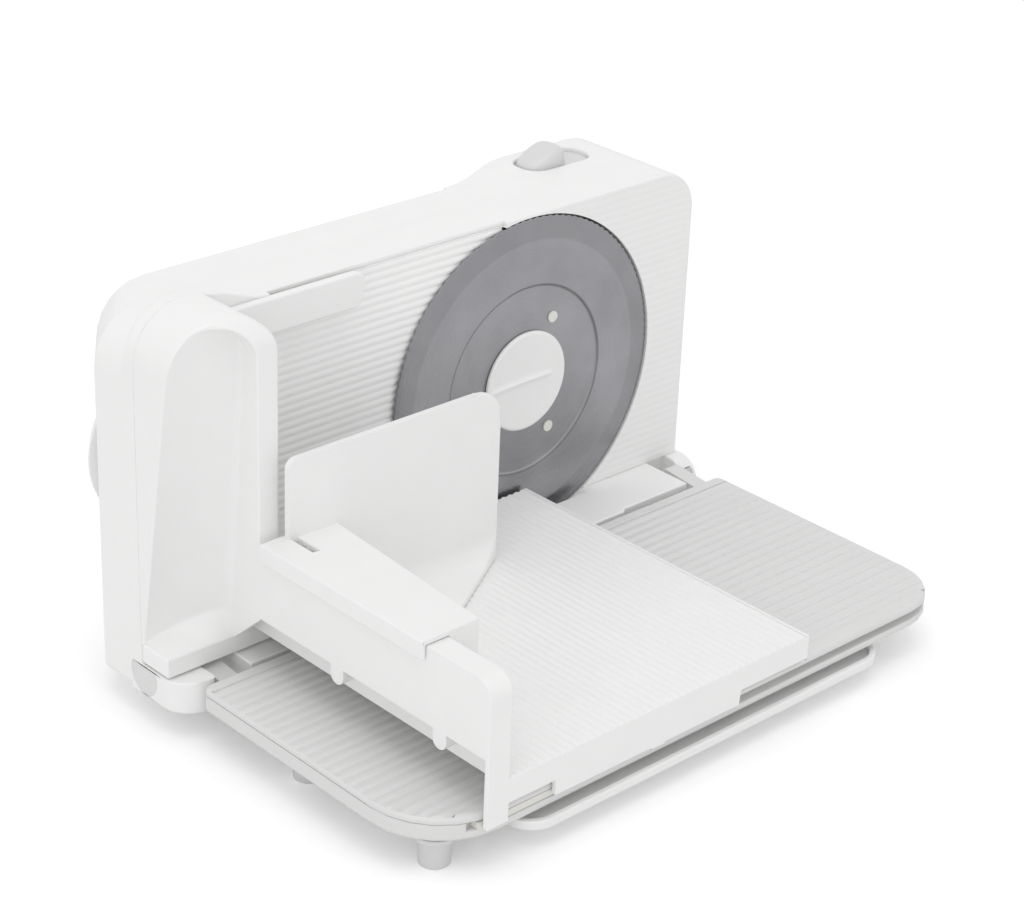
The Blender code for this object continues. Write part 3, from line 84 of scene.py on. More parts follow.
def fed(tree, node, inputs):
    """Gives a node its inputs: each is another node's socket or a plain value."""
    for socket, value in inputs.items():
        if isinstance(value, bpy.types.NodeSocket):
            tree.links.new(value, node.inputs[socket])
        else:
            node.inputs[socket].default_value = value
    return node


def noise_of(tree, place, scale, detail=2.0):
    """Noise through space."""
    noise = tree.nodes.new("ShaderNodeTexNoise")
    return fed(tree, noise, {"Vector": place, "Scale": scale, "Detail": detail}).outputs["Fac"]


def stepped(tree, value, start, end, low, high):
    """A value laid evenly from one span onto another, and held at both ends."""
    ramp = tree.nodes.new("ShaderNodeMapRange")
    spans = {"Value": value, "From Min": start, "From Max": end, "To Min": low, "To Max": high}
    return fed(tree, ramp, spans).outputs["Result"]


def between(tree, noise, low, high):
    """A noise, stretched and laid between two values."""
    return stepped(tree, noise, *NOISE_SPAN, low, high)


def mixed(tree, share, colour, shade):
    """A colour that goes over to its own darker shade by a share."""
    mix = tree.nodes.new("ShaderNodeMix")
    mix.data_type = "RGBA"
    darker = [value * shade for value in colour]
    return fed(tree, mix, {"A": (*colour, 1.0), "B": (*darker, 1.0), "Factor": share}).outputs["Result"]


def counted(tree, operation, first, second=0.0):
    """One Math node; either side is a socket or a number."""
    node = tree.nodes.new("ShaderNodeMath")
    node.operation = operation
    return fed(tree, node, {0: first, 1: second}).outputs["Value"]


def vector_counted(tree, operation, inputs, output="Vector"):
    """One Vector Math node."""
    node = tree.nodes.new("ShaderNodeVectorMath")
    node.operation = operation
    return fed(tree, node, inputs).outputs[output]


def bumped(tree, height, distance):
    """The normal of a surface that stands out by a height."""
    bump = tree.nodes.new("ShaderNodeBump")
    inputs = {"Strength": BUMP_STRENGTH, "Distance": distance, "Height": height}
    return fed(tree, bump, inputs).outputs["Normal"]


def moulded(name, colour, roughness, grain, grain_depth):
    """Moulded plastic: a faint cloud in its colour, an uneven gloss and a fine spark-eroded grain."""
    made, tree, shader = shader_of(name)
    place = tree.nodes.new("ShaderNodeTexCoord").outputs["Object"]
    cloud = between(tree, noise_of(tree, place, CLOUD_SCALE), 0.0, 1.0)
    gloss = noise_of(tree, place, GLOSS_SCALE)
    fed(tree, shader, {
        "Base Color": mixed(tree, cloud, colour, CLOUD_SHADE),
        "Roughness": between(tree, gloss, roughness - GLOSS_SPREAD, roughness + GLOSS_SPREAD),
        "Normal": bumped(tree, noise_of(tree, place, grain, 1.0), grain_depth),
        "IOR": PLASTIC_IOR})
    return made


def ring_of(tree, place):
    """The distance from the blade's axis, for marks that run round it."""
    shift = vector_counted(tree, "SUBTRACT", {0: place, 1: tuple(PLACE)})
    flat = vector_counted(tree, "MULTIPLY", {0: shift, 1: (1.0, 0.0, 1.0)})
    return vector_counted(tree, "LENGTH", {0: flat}, "Value")


def bevel_tone_and_step_shadow(tree, radius):
    """The ground bevel is duller than the flat, and a dark line of painted shadow lies on the step
    round the seat, where the step shades itself.
    """
    bevel = stepped(tree, radius, *BEVEL_SPAN, 1.0, BEVEL_SHADE)
    apart = counted(tree, "ABSOLUTE", counted(tree, "SUBTRACT", radius, SEAT_RADIUS))
    line = stepped(tree, apart, *STEP_SHADOW_SPAN, STEP_SHADOW_SHADE, 1.0)
    return counted(tree, "MULTIPLY", bevel, line)


def ground_steel(name, colour, roughness):
    """Ground stainless steel: fine rings in its height and gloss, and a cloud in its colour."""
    made, tree, shader = shader_of(name)
    place = tree.nodes.new("ShaderNodeTexCoord").outputs["Object"]
    radius = ring_of(tree, place)
    noise = tree.nodes.new("ShaderNodeTexNoise")
    noise.noise_dimensions = "1D"
    rings = fed(tree, noise, {"W": radius, "Scale": RING_SCALE, "Detail": 4.0}).outputs["Fac"]
    cloud = between(tree, noise_of(tree, place, STEEL_CLOUD_SCALE), 0.0, 1.0)
    clouded = mixed(tree, cloud, colour, STEEL_CLOUD_SHADE)
    fed(tree, shader, {
        # The base colour is darker over the ground bevel, and holds a painted shadow line at the seat's
        # step
        "Base Color": vector_counted(tree, "SCALE", {0: clouded, "Scale": bevel_tone_and_step_shadow(tree, radius)}),
        "Roughness": between(tree, rings, roughness - 0.05, roughness + 0.07),
        "Normal": bumped(tree, rings, RING_DEPTH),
        "Metallic": 1.0})
    return made


def drawn_steel(name, colour, roughness):
    """Drawn rod: fine uneven gloss and colour."""
    made, tree, shader = shader_of(name)
    place = tree.nodes.new("ShaderNodeTexCoord").outputs["Object"]
    cloud = between(tree, noise_of(tree, place, ROD_CLOUD_SCALE), 0.0, 1.0)
    gloss = noise_of(tree, place, ROD_GLOSS_SCALE)
    fed(tree, shader, {
        "Base Color": mixed(tree, cloud, colour, ROD_CLOUD_SHADE),
        "Roughness": between(tree, gloss, roughness - 0.05, roughness + 0.05),
        "Metallic": 1.0})
    return made


FINISHES = {
    "white_plastic": moulded("white_moulding", (0.89, 0.89, 0.886), 0.36, 2400.0, 0.00004),
    "grey_plastic": moulded("light_grey_moulding", (0.735, 0.735, 0.73), 0.42, 2100.0, 0.00005),
    "natural_plastic": moulded("natural_nylon", (0.78, 0.77, 0.72), 0.45, 1800.0, 0.00005),
    "blade_steel": ground_steel("ground_blade_steel", (0.385, 0.385, 0.405), 0.30),
    "steel": drawn_steel("drawn_rod_steel", (0.52, 0.52, 0.54), 0.28),
    "foot_rubber": moulded("foot_rubber", (0.68, 0.68, 0.68), 0.62, 1500.0, 0.00008),
}
# A paler copy of the white moulding for the gauge plate: painted light, brightening it against the
# shade that the guard, holder and table put on it
PLATE_PAINTED_LIGHT = moulded("plate_painted_light_moulding", (0.95, 0.95, 0.945), 0.34, 2400.0, 0.00003)
SWITCH_GREY = moulded("switch_grey_moulding", (0.71, 0.71, 0.71), 0.40, 2100.0, 0.00004)


# Pieces

# The reach within which points are joined: in this script's own surfaces, and in the CAD's
JOIN_REACH, CAD_JOIN_REACH = 1e-7, 2e-6
# Turns in degrees: still level, rolled as an edge, and shaded as an edge
LEVEL_TURN, ROLLED_TURN, SHARP_TURN = 0.3, 25.0, 32.0
LEVEL_WEIGHT = 60
# The most of its own radius that a quarter circle is followed over, short of where it stands upright
ARC_SHARE = 0.9999


def keep_as_piece(made, node, slot=None, finish=None):
    """Stands a piece for a CAD node: the node's body, its slot and that slot's material."""
    slot = slot or SLOT_OF[node]
    made.data.materials.clear()
    made.data.materials.append(finish or FINISHES[slot])
    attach(made, BODY_OF[node])
    return made


def in_scene(name, data):
    """An object of a mesh, a light or a camera, linked to the scene."""
    made = bpy.data.objects.new(name, data)
    bpy.context.collection.objects.link(made)
    return made


def sliced_off(work, point, normal):
    """Takes away what lies beyond a plane, and closes the cut."""
    cut = bmesh.ops.bisect_plane(work, geom=[*work.verts, *work.edges, *work.faces], dist=JOIN_REACH,
                                 plane_co=Vector(PLACE) + Vector(point), plane_no=normal,
                                 clear_outer=True)
    rims = [edge for edge in cut["geom_cut"] if isinstance(edge, bmesh.types.BMEdge) and edge.is_valid]
    bmesh.ops.triangle_fill(work, use_beauty=True, edges=rims)


def softened(node, name, width, segments=3, slot=None, finish=None, cuts=(), seam=None):
    """A node's own solid with its sharp edges rolled to a small radius, as the mould leaves them.

    The faces that lie level with each other are joined first, and what lies beyond each plane of
    `cuts` is taken away. Each edge that turns by more than ROLLED_TURN is then rolled over `width`,
    unless an edge shorter than twice that meets it. The large faces keep their own slant in the
    shading, so that only the rolls look round. A face that lies at the depth seam[0] is a joint's:
    it is brought to the depth seam[1], and its edges stay sharp.
    """
    mesh = frame["nodes"][node].data.copy()
    work = bmesh.new()
    work.from_mesh(mesh)
    bmesh.ops.remove_doubles(work, verts=work.verts, dist=CAD_JOIN_REACH)
    for point, normal in cuts:
        sliced_off(work, point, normal)
    bmesh.ops.dissolve_limit(work, angle_limit=math.radians(LEVEL_TURN), verts=work.verts,
                             edges=work.edges)
    weight = work.edges.layers.float.new("bevel_weight_edge")
    joint = set()
    if seam is not None:
        joint = {vert for vert in work.verts if abs(vert.co.y - PLACE[1] - seam[0]) < 1e-5}
        for vert in joint:
            vert.co.y = PLACE[1] + seam[1]
    for edge in work.edges:
        if len(edge.link_faces) == 2 and edge.calc_face_angle() > math.radians(ROLLED_TURN):
            near = min(other.calc_length() for end in edge.verts for other in end.link_edges)
            closed = edge.verts[0] in joint and edge.verts[1] in joint
            edge[weight] = 1.0 if near > width * 2 and not closed else 0.0
    work.to_mesh(mesh)
    work.free()
    mesh.name = name
    made = in_scene(name, mesh)
    roll = made.modifiers.new("rolled_edges", "BEVEL")
    roll.width = width
    roll.segments = segments
    roll.limit_method = "WEIGHT"
    roll.use_clamp_overlap = False
    level = made.modifiers.new("level_faces", "WEIGHTED_NORMAL")
    level.mode = "FACE_AREA"
    level.weight = LEVEL_WEIGHT
    level.keep_sharp = True
    smoothed(made, SHARP_TURN)
    keep_as_piece(made, node, slot, finish)
    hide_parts(node)


def skin(name, grid, round_u=False, ends=False):
    """A grid of points skinned with four-sided faces.

    Rows run along u and columns along v, and each row is a closed loop. round_u joins the last row
    to the first, and ends closes both end rows to their own middles.
    """
    if ends:
        first, last = grid[:1], grid[-1:]
        grid = np.concatenate([np.broadcast_to(first.mean(1, keepdims=True), first.shape), grid,
                               np.broadcast_to(last.mean(1, keepdims=True), last.shape)])
    rows, columns = grid.shape[:2]
    u = np.arange(rows if round_u else rows - 1)[:, None]
    v = np.arange(columns)[None, :]
    un, vn = (u + 1) % rows, (v + 1) % columns
    faces = np.stack([u * columns + v, u * columns + vn, un * columns + vn, un * columns + v], -1)
    mesh = bpy.data.meshes.new(name)
    mesh.from_pydata((grid + PLACE).reshape(-1, 3).tolist(), [], faces.reshape(-1, 4).tolist())
    work = bmesh.new()
    work.from_mesh(mesh)
    bmesh.ops.remove_doubles(work, verts=work.verts, dist=JOIN_REACH)
    bmesh.ops.recalc_face_normals(work, faces=work.faces)
    work.to_mesh(mesh)
    work.free()
    return in_scene(name, mesh)


def smoothed(made, angle):
    """Shades a piece round, but for edges that turn by more than an angle."""
    made.data.shade_smooth()
    made.data.set_sharp_from_angle(angle=math.radians(angle))
    return made


def closed_strip(name, sections, angle=35.0):
    """A solid from closed sections carried along a path, closed at both ends to their middles."""
    made = smoothed(skin(name, sections, ends=True), angle)
    level = made.modifiers.new("level_faces", "WEIGHTED_NORMAL")
    level.keep_sharp = True
    return made


def step_share(x, start, end):
    """0 before start, 1 after end, and a smooth S between."""
    t = np.clip((x - start) / (end - start), 0.0, 1.0)
    return t * t * (3 - 2 * t)


def run_of(start, end, count):
    """Points on a straight line."""
    share = np.linspace(0.0, 1.0, count)[:, None]
    return np.array(start) * (1 - share) + np.array(end) * share


def arc_of(centre, wide, tall, start, end, count):
    """Points on an upright ellipse, between two angles in degrees."""
    turn = np.radians(np.linspace(start, end, count))
    return np.stack([centre[0] + wide * np.cos(turn), centre[1] + tall * np.sin(turn)], -1)


def size_from_place(node):
    """A node's lowest and highest corners, seen from PLACE."""
    return (np.array(corner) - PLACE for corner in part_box(node))


# Blade, pegs and knob: sizes from the blade's axis, and depths from the gauge plate's crests
BLADE_RADIUS = 0.0845
SCALLOP_START, TOOTH_DEPTH = 0.0815, 0.00055
TOOTH_COUNT, TOOTH_STEPS = 120, 8
PEG_CIRCLE = 0.0342
PEG_TURNS = (math.pi / 3, math.pi, 5 * math.pi / 3)
KNOB_RADIUS, KNOB_FACE, KNOB_REAR = 0.0259, -0.0038, -0.0021
DISH_DEPTH, DISH_SHARE = 0.0013, 0.93
RIM_FALL, RIM_SHARE = 0.0006, 0.955
WING_RISE, WING_WIDTH, WING_END, WING_TURN = 0.0012, 0.0014, (0.0145, 0.0180), 1.0


def blade_disc():
    """The blade as a closed profile turned about the Y axis.

    The profile runs in from the edge over the ground bevel, a flat band, a small step and the seat
    to the hole, and back along the rear. The edge's own radius is R - d (1 - cos n a) / 2 at the
    angle a, which makes n shallow scallops of depth d; the share of it fades within the bevel.
    """
    front = [
        (BLADE_RADIUS, -0.00135), (0.0842, -0.00150), (0.0835, -0.00158), (0.0824, -0.00170),
        (0.0800, -0.00196), (0.0760, -0.00236), (0.0735, -0.00261), (0.0730, -0.00266),
        (0.0724, -0.00268), (0.0700, -0.00268), (0.0620, -0.00266), (0.0540, -0.00263),
        (0.0500, -0.00262), (SEAT_RADIUS, -0.00258), (0.0493, -0.00245), (0.0490, -0.00205),
        (0.0487, -0.00184), (0.0482, -0.0018), (0.0440, -0.0018), (0.0340, -0.0018),
        (0.0240, -0.0018), (0.0074, -0.0018), (0.0070, -0.0016)]
    rear = [
        (0.0070, -0.0007), (0.0480, -0.0007), (0.0520, -0.0015), (0.0700, -0.0016),
        (0.0800, -0.00133), (0.0835, -0.00116), (BLADE_RADIUS, -0.00110)]
    profile = np.array(front + rear)
    angle = np.linspace(0, 2 * np.pi, TOOTH_COUNT * TOOTH_STEPS, endpoint=False)
    reach = step_share(profile[:, 0], SCALLOP_START, BLADE_RADIUS)[None, :]
    scallop = TOOTH_DEPTH * (1 - np.cos(TOOTH_COUNT * angle))[:, None] / 2
    radius = profile[None, :, 0] - scallop * reach
    grid = np.stack([radius * np.cos(angle)[:, None], np.broadcast_to(profile[:, 1], radius.shape),
                     radius * np.sin(angle)[:, None]], -1)
    made = smoothed(skin("blade_disc", grid, round_u=True), 40.0)
    keep_as_piece(made, "blade")
    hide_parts("blade")


def peg_heads():
    """Three flat-domed peg heads, each a small turned profile about its own axis along Y."""
    profile = np.array([(0.0, -0.00262), (0.0012, -0.00262), (0.0022, -0.00256), (0.0027, -0.0024),
                        (0.00285, -0.0021), (0.00285, -0.0012), (0.0, -0.0012)])
    angle = np.linspace(0, 2 * np.pi, 48, endpoint=False)
    radius = profile[:, :1]
    depth = np.broadcast_to(profile[:, 1:], (len(profile), len(angle)))
    for index, turn in enumerate(PEG_TURNS):
        centre = PEG_CIRCLE * np.array([math.cos(turn), 0.0, math.sin(turn)])
        grid = np.stack([radius * np.cos(angle), depth, radius * np.sin(angle)], -1) + centre
        made = smoothed(skin(f"peg_head_{index + 1}", grid), 40.0)
        keep_as_piece(made, "drive_gear")


def knob_face():
    """The knob: a rimmed disc with a shallow dish and a thin wing across it.

    With D = 1 - (s / 0.93)^2 at the share s of the radius, and no less than 0, its front stands at
    y = f + d D + e S^2 - w D^0.3 exp(-(c / b)^2): the dish, the rim that rolls back by a smooth
    step S, and the wing, a bell curve of the distance c across it that fades out past its end.
    """
    turns = 240
    share = np.concatenate([np.linspace(0, 0.84, 44), np.linspace(0.85, RIM_SHARE, 12),
                            np.linspace(0.965, 1.0, 8)])
    angle = np.linspace(0, 2 * np.pi, turns, endpoint=False)
    radius = KNOB_RADIUS * share[:, None] * np.ones(turns)
    x, z = radius * np.cos(angle), radius * np.sin(angle)
    dish = np.clip(1 - (share / DISH_SHARE) ** 2, 0.0, 1.0)[:, None]
    edge = step_share(share, RIM_SHARE, 1.0)[:, None]
    tilt = math.radians(WING_TURN)
    along = x * math.cos(tilt) + z * math.sin(tilt)
    across = -x * math.sin(tilt) + z * math.cos(tilt)
    wing = np.exp(-(across / WING_WIDTH) ** 2) * (1 - step_share(along, *WING_END))
    y = KNOB_FACE + DISH_DEPTH * dish + RIM_FALL * edge ** 2 - WING_RISE * wing * dish ** 0.3
    front = np.stack([x, y, z], -1)
    back = np.stack([x[-1:], np.full((1, turns), KNOB_REAR), z[-1:]], -1)
    grid = np.concatenate([front, back, back * (0.0, 1.0, 0.0)])
    made = smoothed(skin("knob_face", grid), 50.0)
    keep_as_piece(made, "blade_knob")
    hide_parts("blade_knob")


# Guard: an arch on the carriage's left, from the blade's axis and the gauge plate's crests
GUARD_OUTER_LEFT, GUARD_OUTER_RIGHT, GUARD_TOP = -0.232, -0.183, 0.098
GUARD_INNER, GUARD_INNER_TOP = -0.195, 0.0942
GUARD_REAR, GUARD_FACE, GUARD_WALL = -0.0042, -0.042, 0.0024
GUARD_FOOT, GUARD_START, GUARD_FOOT_FRONT = -0.0627, -0.0096, -0.0235
GUARD_LIP, INNER_ROUND = 0.0025, 0.016
LEFT_ROUND, RIGHT_ROUND, NOSE_ROUND = 0.026, 0.020, 0.014
OUTER_EDGE, INNER_EDGE = 0.0022, 0.0009
PANEL_FRONT, PANEL_LEAN, PANEL_WALL = -0.0155, -0.155, 0.0016
# How far the panel reaches into the arch at its left and right, and into the foot rail
LEFT_LAP, RIGHT_LAP, FOOT_LAP = 0.0012, 0.0006, 0.0003
SLANT_LEFT, SLANT_WIDTH, SLANT_CURVE = -0.221, 0.026, 0.35
# How far the panel comes forward at its right, at four heights
REACH_HEIGHTS, PANEL_REACH = (GUARD_FOOT, -0.046, 0.080, GUARD_TOP), (0.0125, 0.0125, 0.0030, 0.0022)
PANEL_COVE, COVE_SHARE = 0.0028, 0.985
# The foot's slant: its height at the left and what it gains to the right, and the bend at its top
CLIMB_LEFT, CLIMB_GAIN, CLIMB_BEND = 0.0008, 0.0132, 0.10
# The panel stays behind a limit that moves forward between two heights, with a soft bend there
LIMIT_REACH, LIMIT_HEIGHTS, LIMIT_BEND = 0.0300, (0.0100, 0.0300), 0.0010


def panel_front(z):
    """The slanting line that the guard's panel stands at on its left: front + lean * height."""
    return PANEL_FRONT + PANEL_LEAN * z


def greater(first, second, bend):
    """The greater of two values with a soft bend: (a + b + sqrt((a - b)^2 + s^2)) / 2."""
    return (first + second + np.sqrt((first - second) ** 2 + bend ** 2)) / 2


def guard_front(x, z):
    """How far forward the guard's band stands at a place seen from the front.

    It is the rearmost of two forms, with a soft bend between them: a line that runs back from the
    face to the panel towards the left, and the round nose, a quarter circle in height.
    """
    slant = np.clip((x - SLANT_LEFT) / SLANT_WIDTH, 0.0, 1.0)
    slant = slant * slant * (3 - 2 * slant) * SLANT_CURVE + slant * (1 - SLANT_CURVE)
    plan = panel_front(z) * (1 - slant) + GUARD_FACE * slant
    rise = np.clip(z - (GUARD_TOP - NOSE_ROUND), 0.0, NOSE_ROUND)
    nose = GUARD_FACE + NOSE_ROUND - np.sqrt(NOSE_ROUND ** 2 - rise ** 2)
    return greater(plan, nose, 0.0022 * step_share(rise, 0.0, 0.010))


def arch_outlines():
    """The arch's outer and inner outlines, point for point, up the left and down the right."""
    left, right = GUARD_OUTER_LEFT + LEFT_ROUND, GUARD_OUTER_RIGHT - RIGHT_ROUND
    left_level, right_level = GUARD_TOP - LEFT_ROUND, GUARD_TOP - RIGHT_ROUND
    outer = np.concatenate([
        run_of((GUARD_OUTER_LEFT, GUARD_FOOT), (GUARD_OUTER_LEFT, left_level), 60)[:-1],
        arc_of((left, left_level), LEFT_ROUND, LEFT_ROUND, 180, 90, 60)[:-1],
        run_of((left, GUARD_TOP), (right, GUARD_TOP), 6)[:-1],
        arc_of((right, right_level), RIGHT_ROUND, RIGHT_ROUND, 90, 0, 60)[:-1],
        run_of((GUARD_OUTER_RIGHT, right_level), (GUARD_OUTER_RIGHT, GUARD_START), 50)])
    lip = GUARD_OUTER_LEFT + GUARD_LIP
    heart = (GUARD_INNER - INNER_ROUND, GUARD_INNER_TOP - INNER_ROUND)
    bend = heart[0] - 0.001
    inner = np.concatenate([
        run_of((lip, GUARD_FOOT), (lip, left_level), 60)[:-1],
        arc_of((bend, left_level), bend - lip, GUARD_INNER_TOP - left_level, 180, 90, 60)[:-1],
        run_of((bend, GUARD_INNER_TOP), (heart[0], GUARD_INNER_TOP), 6)[:-1],
        arc_of(heart, INNER_ROUND, INNER_ROUND, 90, 0, 60)[:-1],
        run_of((GUARD_INNER, heart[1]), (GUARD_INNER, GUARD_START), 50)])
    return outer, inner


def guard_arch():
    """The guard's arch: a hollow band carried up the left, over the top and down the right.

    Each section is a point of the outer outline, the matching point of the inner one, and a closed
    run between them: along the outer wall, round the outer edge, over the band, round the inner
    edge and back inside. The edges are quarter circles, y = front + r - sqrt(r^2 - (r - t)^2) at
    the distance t from the edge.
    """
    outer, inner = arch_outlines()
    span = np.linalg.norm(inner - outer, axis=1)[:, None]
    edge = np.minimum(OUTER_EDGE, span * 0.45)
    brow = np.minimum(INNER_EDGE, span * 0.2)
    turn = np.radians(np.linspace(0, 90, 8))
    flat = (span - edge - brow) * np.linspace(0, 1, 10)[1:-1]
    over = np.concatenate([edge * (1 - np.cos(turn)), edge + flat,
                           span - brow * (1 - np.sin(turn))], 1)
    lift = np.concatenate([edge * (1 - np.sin(turn)), np.zeros(flat.shape),
                           brow * (1 - np.cos(turn))], 1)

    def across(share):
        return (outer[:, :1] * (1 - share) + inner[:, :1] * share,
                outer[:, 1:] * (1 - share) + inner[:, 1:] * share)

    x, z = across(over / span)
    y = np.minimum(guard_front(x, z) + lift, GUARD_REAR - 0.0005)
    middle = y.shape[1] // 2
    deep = np.maximum(panel_front(inner[:, 1:]) + 0.0008, y[:, -1:] + 0.0002)
    wall = np.minimum(GUARD_WALL, span * 0.4) / span
    roof = np.maximum(guard_front(outer[:, :1], outer[:, 1:]), y[:, middle:middle + 1]) + GUARD_WALL
    roof = np.minimum(roof, GUARD_REAR - 0.0003)
    rear = np.full_like(roof, GUARD_REAR)
    sections = [np.stack([outer[:, :1], rear, outer[:, 1:]], -1), np.stack([x, y, z], -1),
                np.stack([inner[:, :1], deep, inner[:, 1:]], -1)]
    far = 1 - wall
    for share, depth in ((far, deep), (far, np.minimum(roof, deep)), (wall, roof), (wall, rear)):
        side, height = across(share)
        sections.append(np.stack([side, depth, height], -1))
    keep_as_piece(closed_strip("guard_arch", np.concatenate(sections, 1)), "carriage")


def guard_panel():
    """The guard's panel: a plate whose front comes forward to the right and slants out at the foot.

    With u the share of the way across, its front stands at y = p(z) - a(z) u^2, less a quarter
    circle of radius r into the wall at the right. Below a height that grows with u it goes evenly
    over to the foot rail's front edge, with a soft bend where the slant begins.
    """
    slant_end, climb_end = GUARD_FOOT + 0.005, GUARD_FOOT + 0.03
    z = np.concatenate([np.linspace(GUARD_FOOT - 0.001, slant_end, 34)[:-1],
                        np.linspace(slant_end, climb_end, 60)[:-1],
                        np.linspace(climb_end, GUARD_INNER_TOP + 0.001, 110)])
    tall = z[:, None]
    bend = np.clip(z - (GUARD_TOP - LEFT_ROUND), 0.0, LEFT_ROUND - 0.0005)
    left = GUARD_OUTER_LEFT + LEFT_ROUND - np.sqrt(LEFT_ROUND ** 2 - bend ** 2) + LEFT_LAP
    right = GUARD_INNER + RIGHT_LAP
    u = np.concatenate([np.linspace(0, 0.85, 40)[:-1], np.linspace(0.85, 1.0, 30)])
    x = left[:, None] + (right - left)[:, None] * u
    across = np.clip((x - GUARD_OUTER_LEFT) / (GUARD_INNER - GUARD_OUTER_LEFT), 0.0, 1.0)
    forward = np.interp(tall, REACH_HEIGHTS, PANEL_REACH)
    height = np.maximum(tall - GUARD_FOOT, 0.0)
    near = np.clip(x - (GUARD_INNER - PANEL_COVE), 0.0, PANEL_COVE * COVE_SHARE)
    cove = PANEL_COVE - np.sqrt(PANEL_COVE ** 2 - near ** 2)
    y = panel_front(tall) - forward * across ** 2 - cove
    edge = GUARD_FOOT_FRONT + FOOT_LAP
    y = greater(y, edge - LIMIT_REACH * step_share(height, *LIMIT_HEIGHTS), LIMIT_BEND)
    climb = height / (CLIMB_LEFT + CLIMB_GAIN * across)
    share = climb - greater(climb - 1, 0.0, CLIMB_BEND)
    y = edge + (y - edge) * np.clip(share, 0.0, 1.0)
    front = np.stack([x, y, np.broadcast_to(tall, x.shape)], -1)
    back = front[:, ::-1].copy()
    back[:, :, 1] = np.minimum(panel_front(tall) + PANEL_WALL, GUARD_REAR - 0.0001)
    keep_as_piece(closed_strip("guard_panel", np.concatenate([front, back], 1), 50.0), "carriage")


def rounded_slab(name, outline, rear, front, edge, node, axes=(0, 1, 2)):
    """A slab: an outline carried from the rear to the front with round edges.

    The inset of the outline at the distance t from a face is r - sqrt(r^2 - (r - t)^2), and a
    narrow flat ring leads on to the face. The outline is seen from the front, and `axes` turns it
    to another side.
    """
    turn = np.radians(np.linspace(0, 90, 6))
    ring = [edge * 1.3]
    inset = np.concatenate([ring, edge * (1 - np.sin(turn)), edge * (1 - np.cos(turn)), ring])
    depth = np.concatenate([[rear], rear - edge * (1 - np.cos(turn)),
                            front + edge * (1 - np.sin(turn)), [front]])
    ahead = np.roll(outline, -1, 0) - outline
    before = outline - np.roll(outline, 1, 0)
    ahead, before = (side / np.linalg.norm(side, axis=1)[:, None] for side in (ahead, before))
    lean = ahead + before
    inward = np.stack([-lean[:, 1], lean[:, 0]], -1) / np.linalg.norm(lean, axis=1)[:, None]
    points = outline[None] + inward[None] * inset[:, None, None]
    grid = np.stack([points[:, :, 0], np.broadcast_to(depth[:, None], points.shape[:2]),
                     points[:, :, 1]], -1)
    return keep_as_piece(closed_strip(name, grid[:, :, axes], 50.0), node)


def round_cornered(corners, steps=10):
    """An outline through corners (x, z, radius), each rounded by its own radius, run anticlockwise."""
    spots = np.array([(x, z) for x, z, _ in corners])
    runs = []
    for index, (_, _, radius) in enumerate(corners):
        here, last, following = spots[index], spots[index - 1], spots[(index + 1) % len(spots)]
        inward = (last - here) / np.linalg.norm(last - here)
        onward = (following - here) / np.linalg.norm(following - here)
        half = np.arccos(np.clip(inward @ onward, -1, 1)) / 2
        reach = radius / np.tan(half)
        swing = np.linspace(0, 1, steps)[:, None] * (np.pi - 2 * half)
        middle = here + (inward + onward) / np.linalg.norm(inward + onward) * radius / np.sin(half)
        start = (here + inward * reach - middle) / radius
        end = (here + onward * reach - middle) / radius
        upright = (end - start * (start @ end)) / np.sqrt(1 - (start @ end) ** 2)
        runs.append(middle + radius * (start * np.cos(swing) + upright * np.sin(swing)))
    return np.concatenate(runs)


def finger_tab():
    """The tab on the guard's right: a slab with a slanting end and round corners."""
    outline = round_cornered([(-0.1850, 0.0700, 0.0016), (-0.1092, 0.0700, 0.0060),
                              (-0.1072, 0.0870, 0.0052), (-0.1850, 0.0870, 0.0016)])
    rounded_slab("finger_tab", outline, GUARD_REAR, -0.0085, 0.0010, "carriage")


def guard_foot():
    """The foot rail under the guard, and the gusset between it and the fence: two round edged slabs."""
    rail = round_cornered([(-0.23200, -0.07225, 0.0013), (-0.17350, -0.07225, 0.0013),
                           (-0.17350, -0.06264, 0.0013), (-0.23200, -0.06264, 0.0013)])
    rounded_slab("guard_foot", rail, -0.00415, GUARD_FOOT_FRONT - 0.0001, 0.0009, "carriage")
    web = round_cornered([(-0.0205, -0.0445, 0.0005), (-0.0425, -0.0445, 0.0005),
                          (-0.0425, -0.0468, 0.0004), (-0.0236, -0.0640, 0.0006),
                          (-0.0205, -0.0640, 0.0005)])
    rounded_slab("guard_gusset", web, -0.1927, -0.19505, 0.0003, "carriage", axes=(1, 0, 2))


def button_disc():
    """The fold button: a disc with its top cut level, y = m + r cos a and z = n + r sin a."""
    low, high = size_from_place("fold_button")
    wider = 0.0002
    radius = (high[1] - low[1]) / 2 + wider
    middle = ((low[1] + high[1]) / 2, low[2] + radius - wider)
    rise = math.asin((high[2] - middle[1]) / radius)
    angle = np.linspace(math.pi - rise, 2 * math.pi + rise, 90)
    outline = np.stack([middle[0] + radius * np.cos(angle), middle[1] + radius * np.sin(angle)], -1)
    made = rounded_slab("button_disc", outline[::-1], high[0], low[0], 0.0003, "fold_button",
                        axes=(1, 0, 2))
    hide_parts("fold_button")


# Ribbed plates: level ribs between the blade and the housing's edges
RIB_PITCH, RIB_GROOVE, RIB_SHARPNESS = 0.0040, -0.0764, 1.7
PLATE_FOOT = -0.0730
GAUGE_RIB_DEPTH, FIXED_RIB_DEPTH = 0.00036, 0.00014
GAUGE_BORDER, FIXED_BORDER = 0.0014, 0.0030
GAUGE_EDGE, FIXED_EDGE, TIP_EDGE = 0.0004, 0.0010, 0.0001


def rib_depth(z, depth):
    """The groove's depth at a height: d ((1 + cos a) / 2)^n, deepest once in each pitch."""
    phase = 2 * np.pi * (z - RIB_GROOVE) / RIB_PITCH
    return depth * ((1 + np.cos(phase)) / 2) ** RIB_SHARPNESS


def quarter_round(near, radius):
    """How far a quarter circle stands back, r - sqrt(r^2 - t^2), at t into it."""
    return radius - np.sqrt(radius ** 2 - near ** 2)


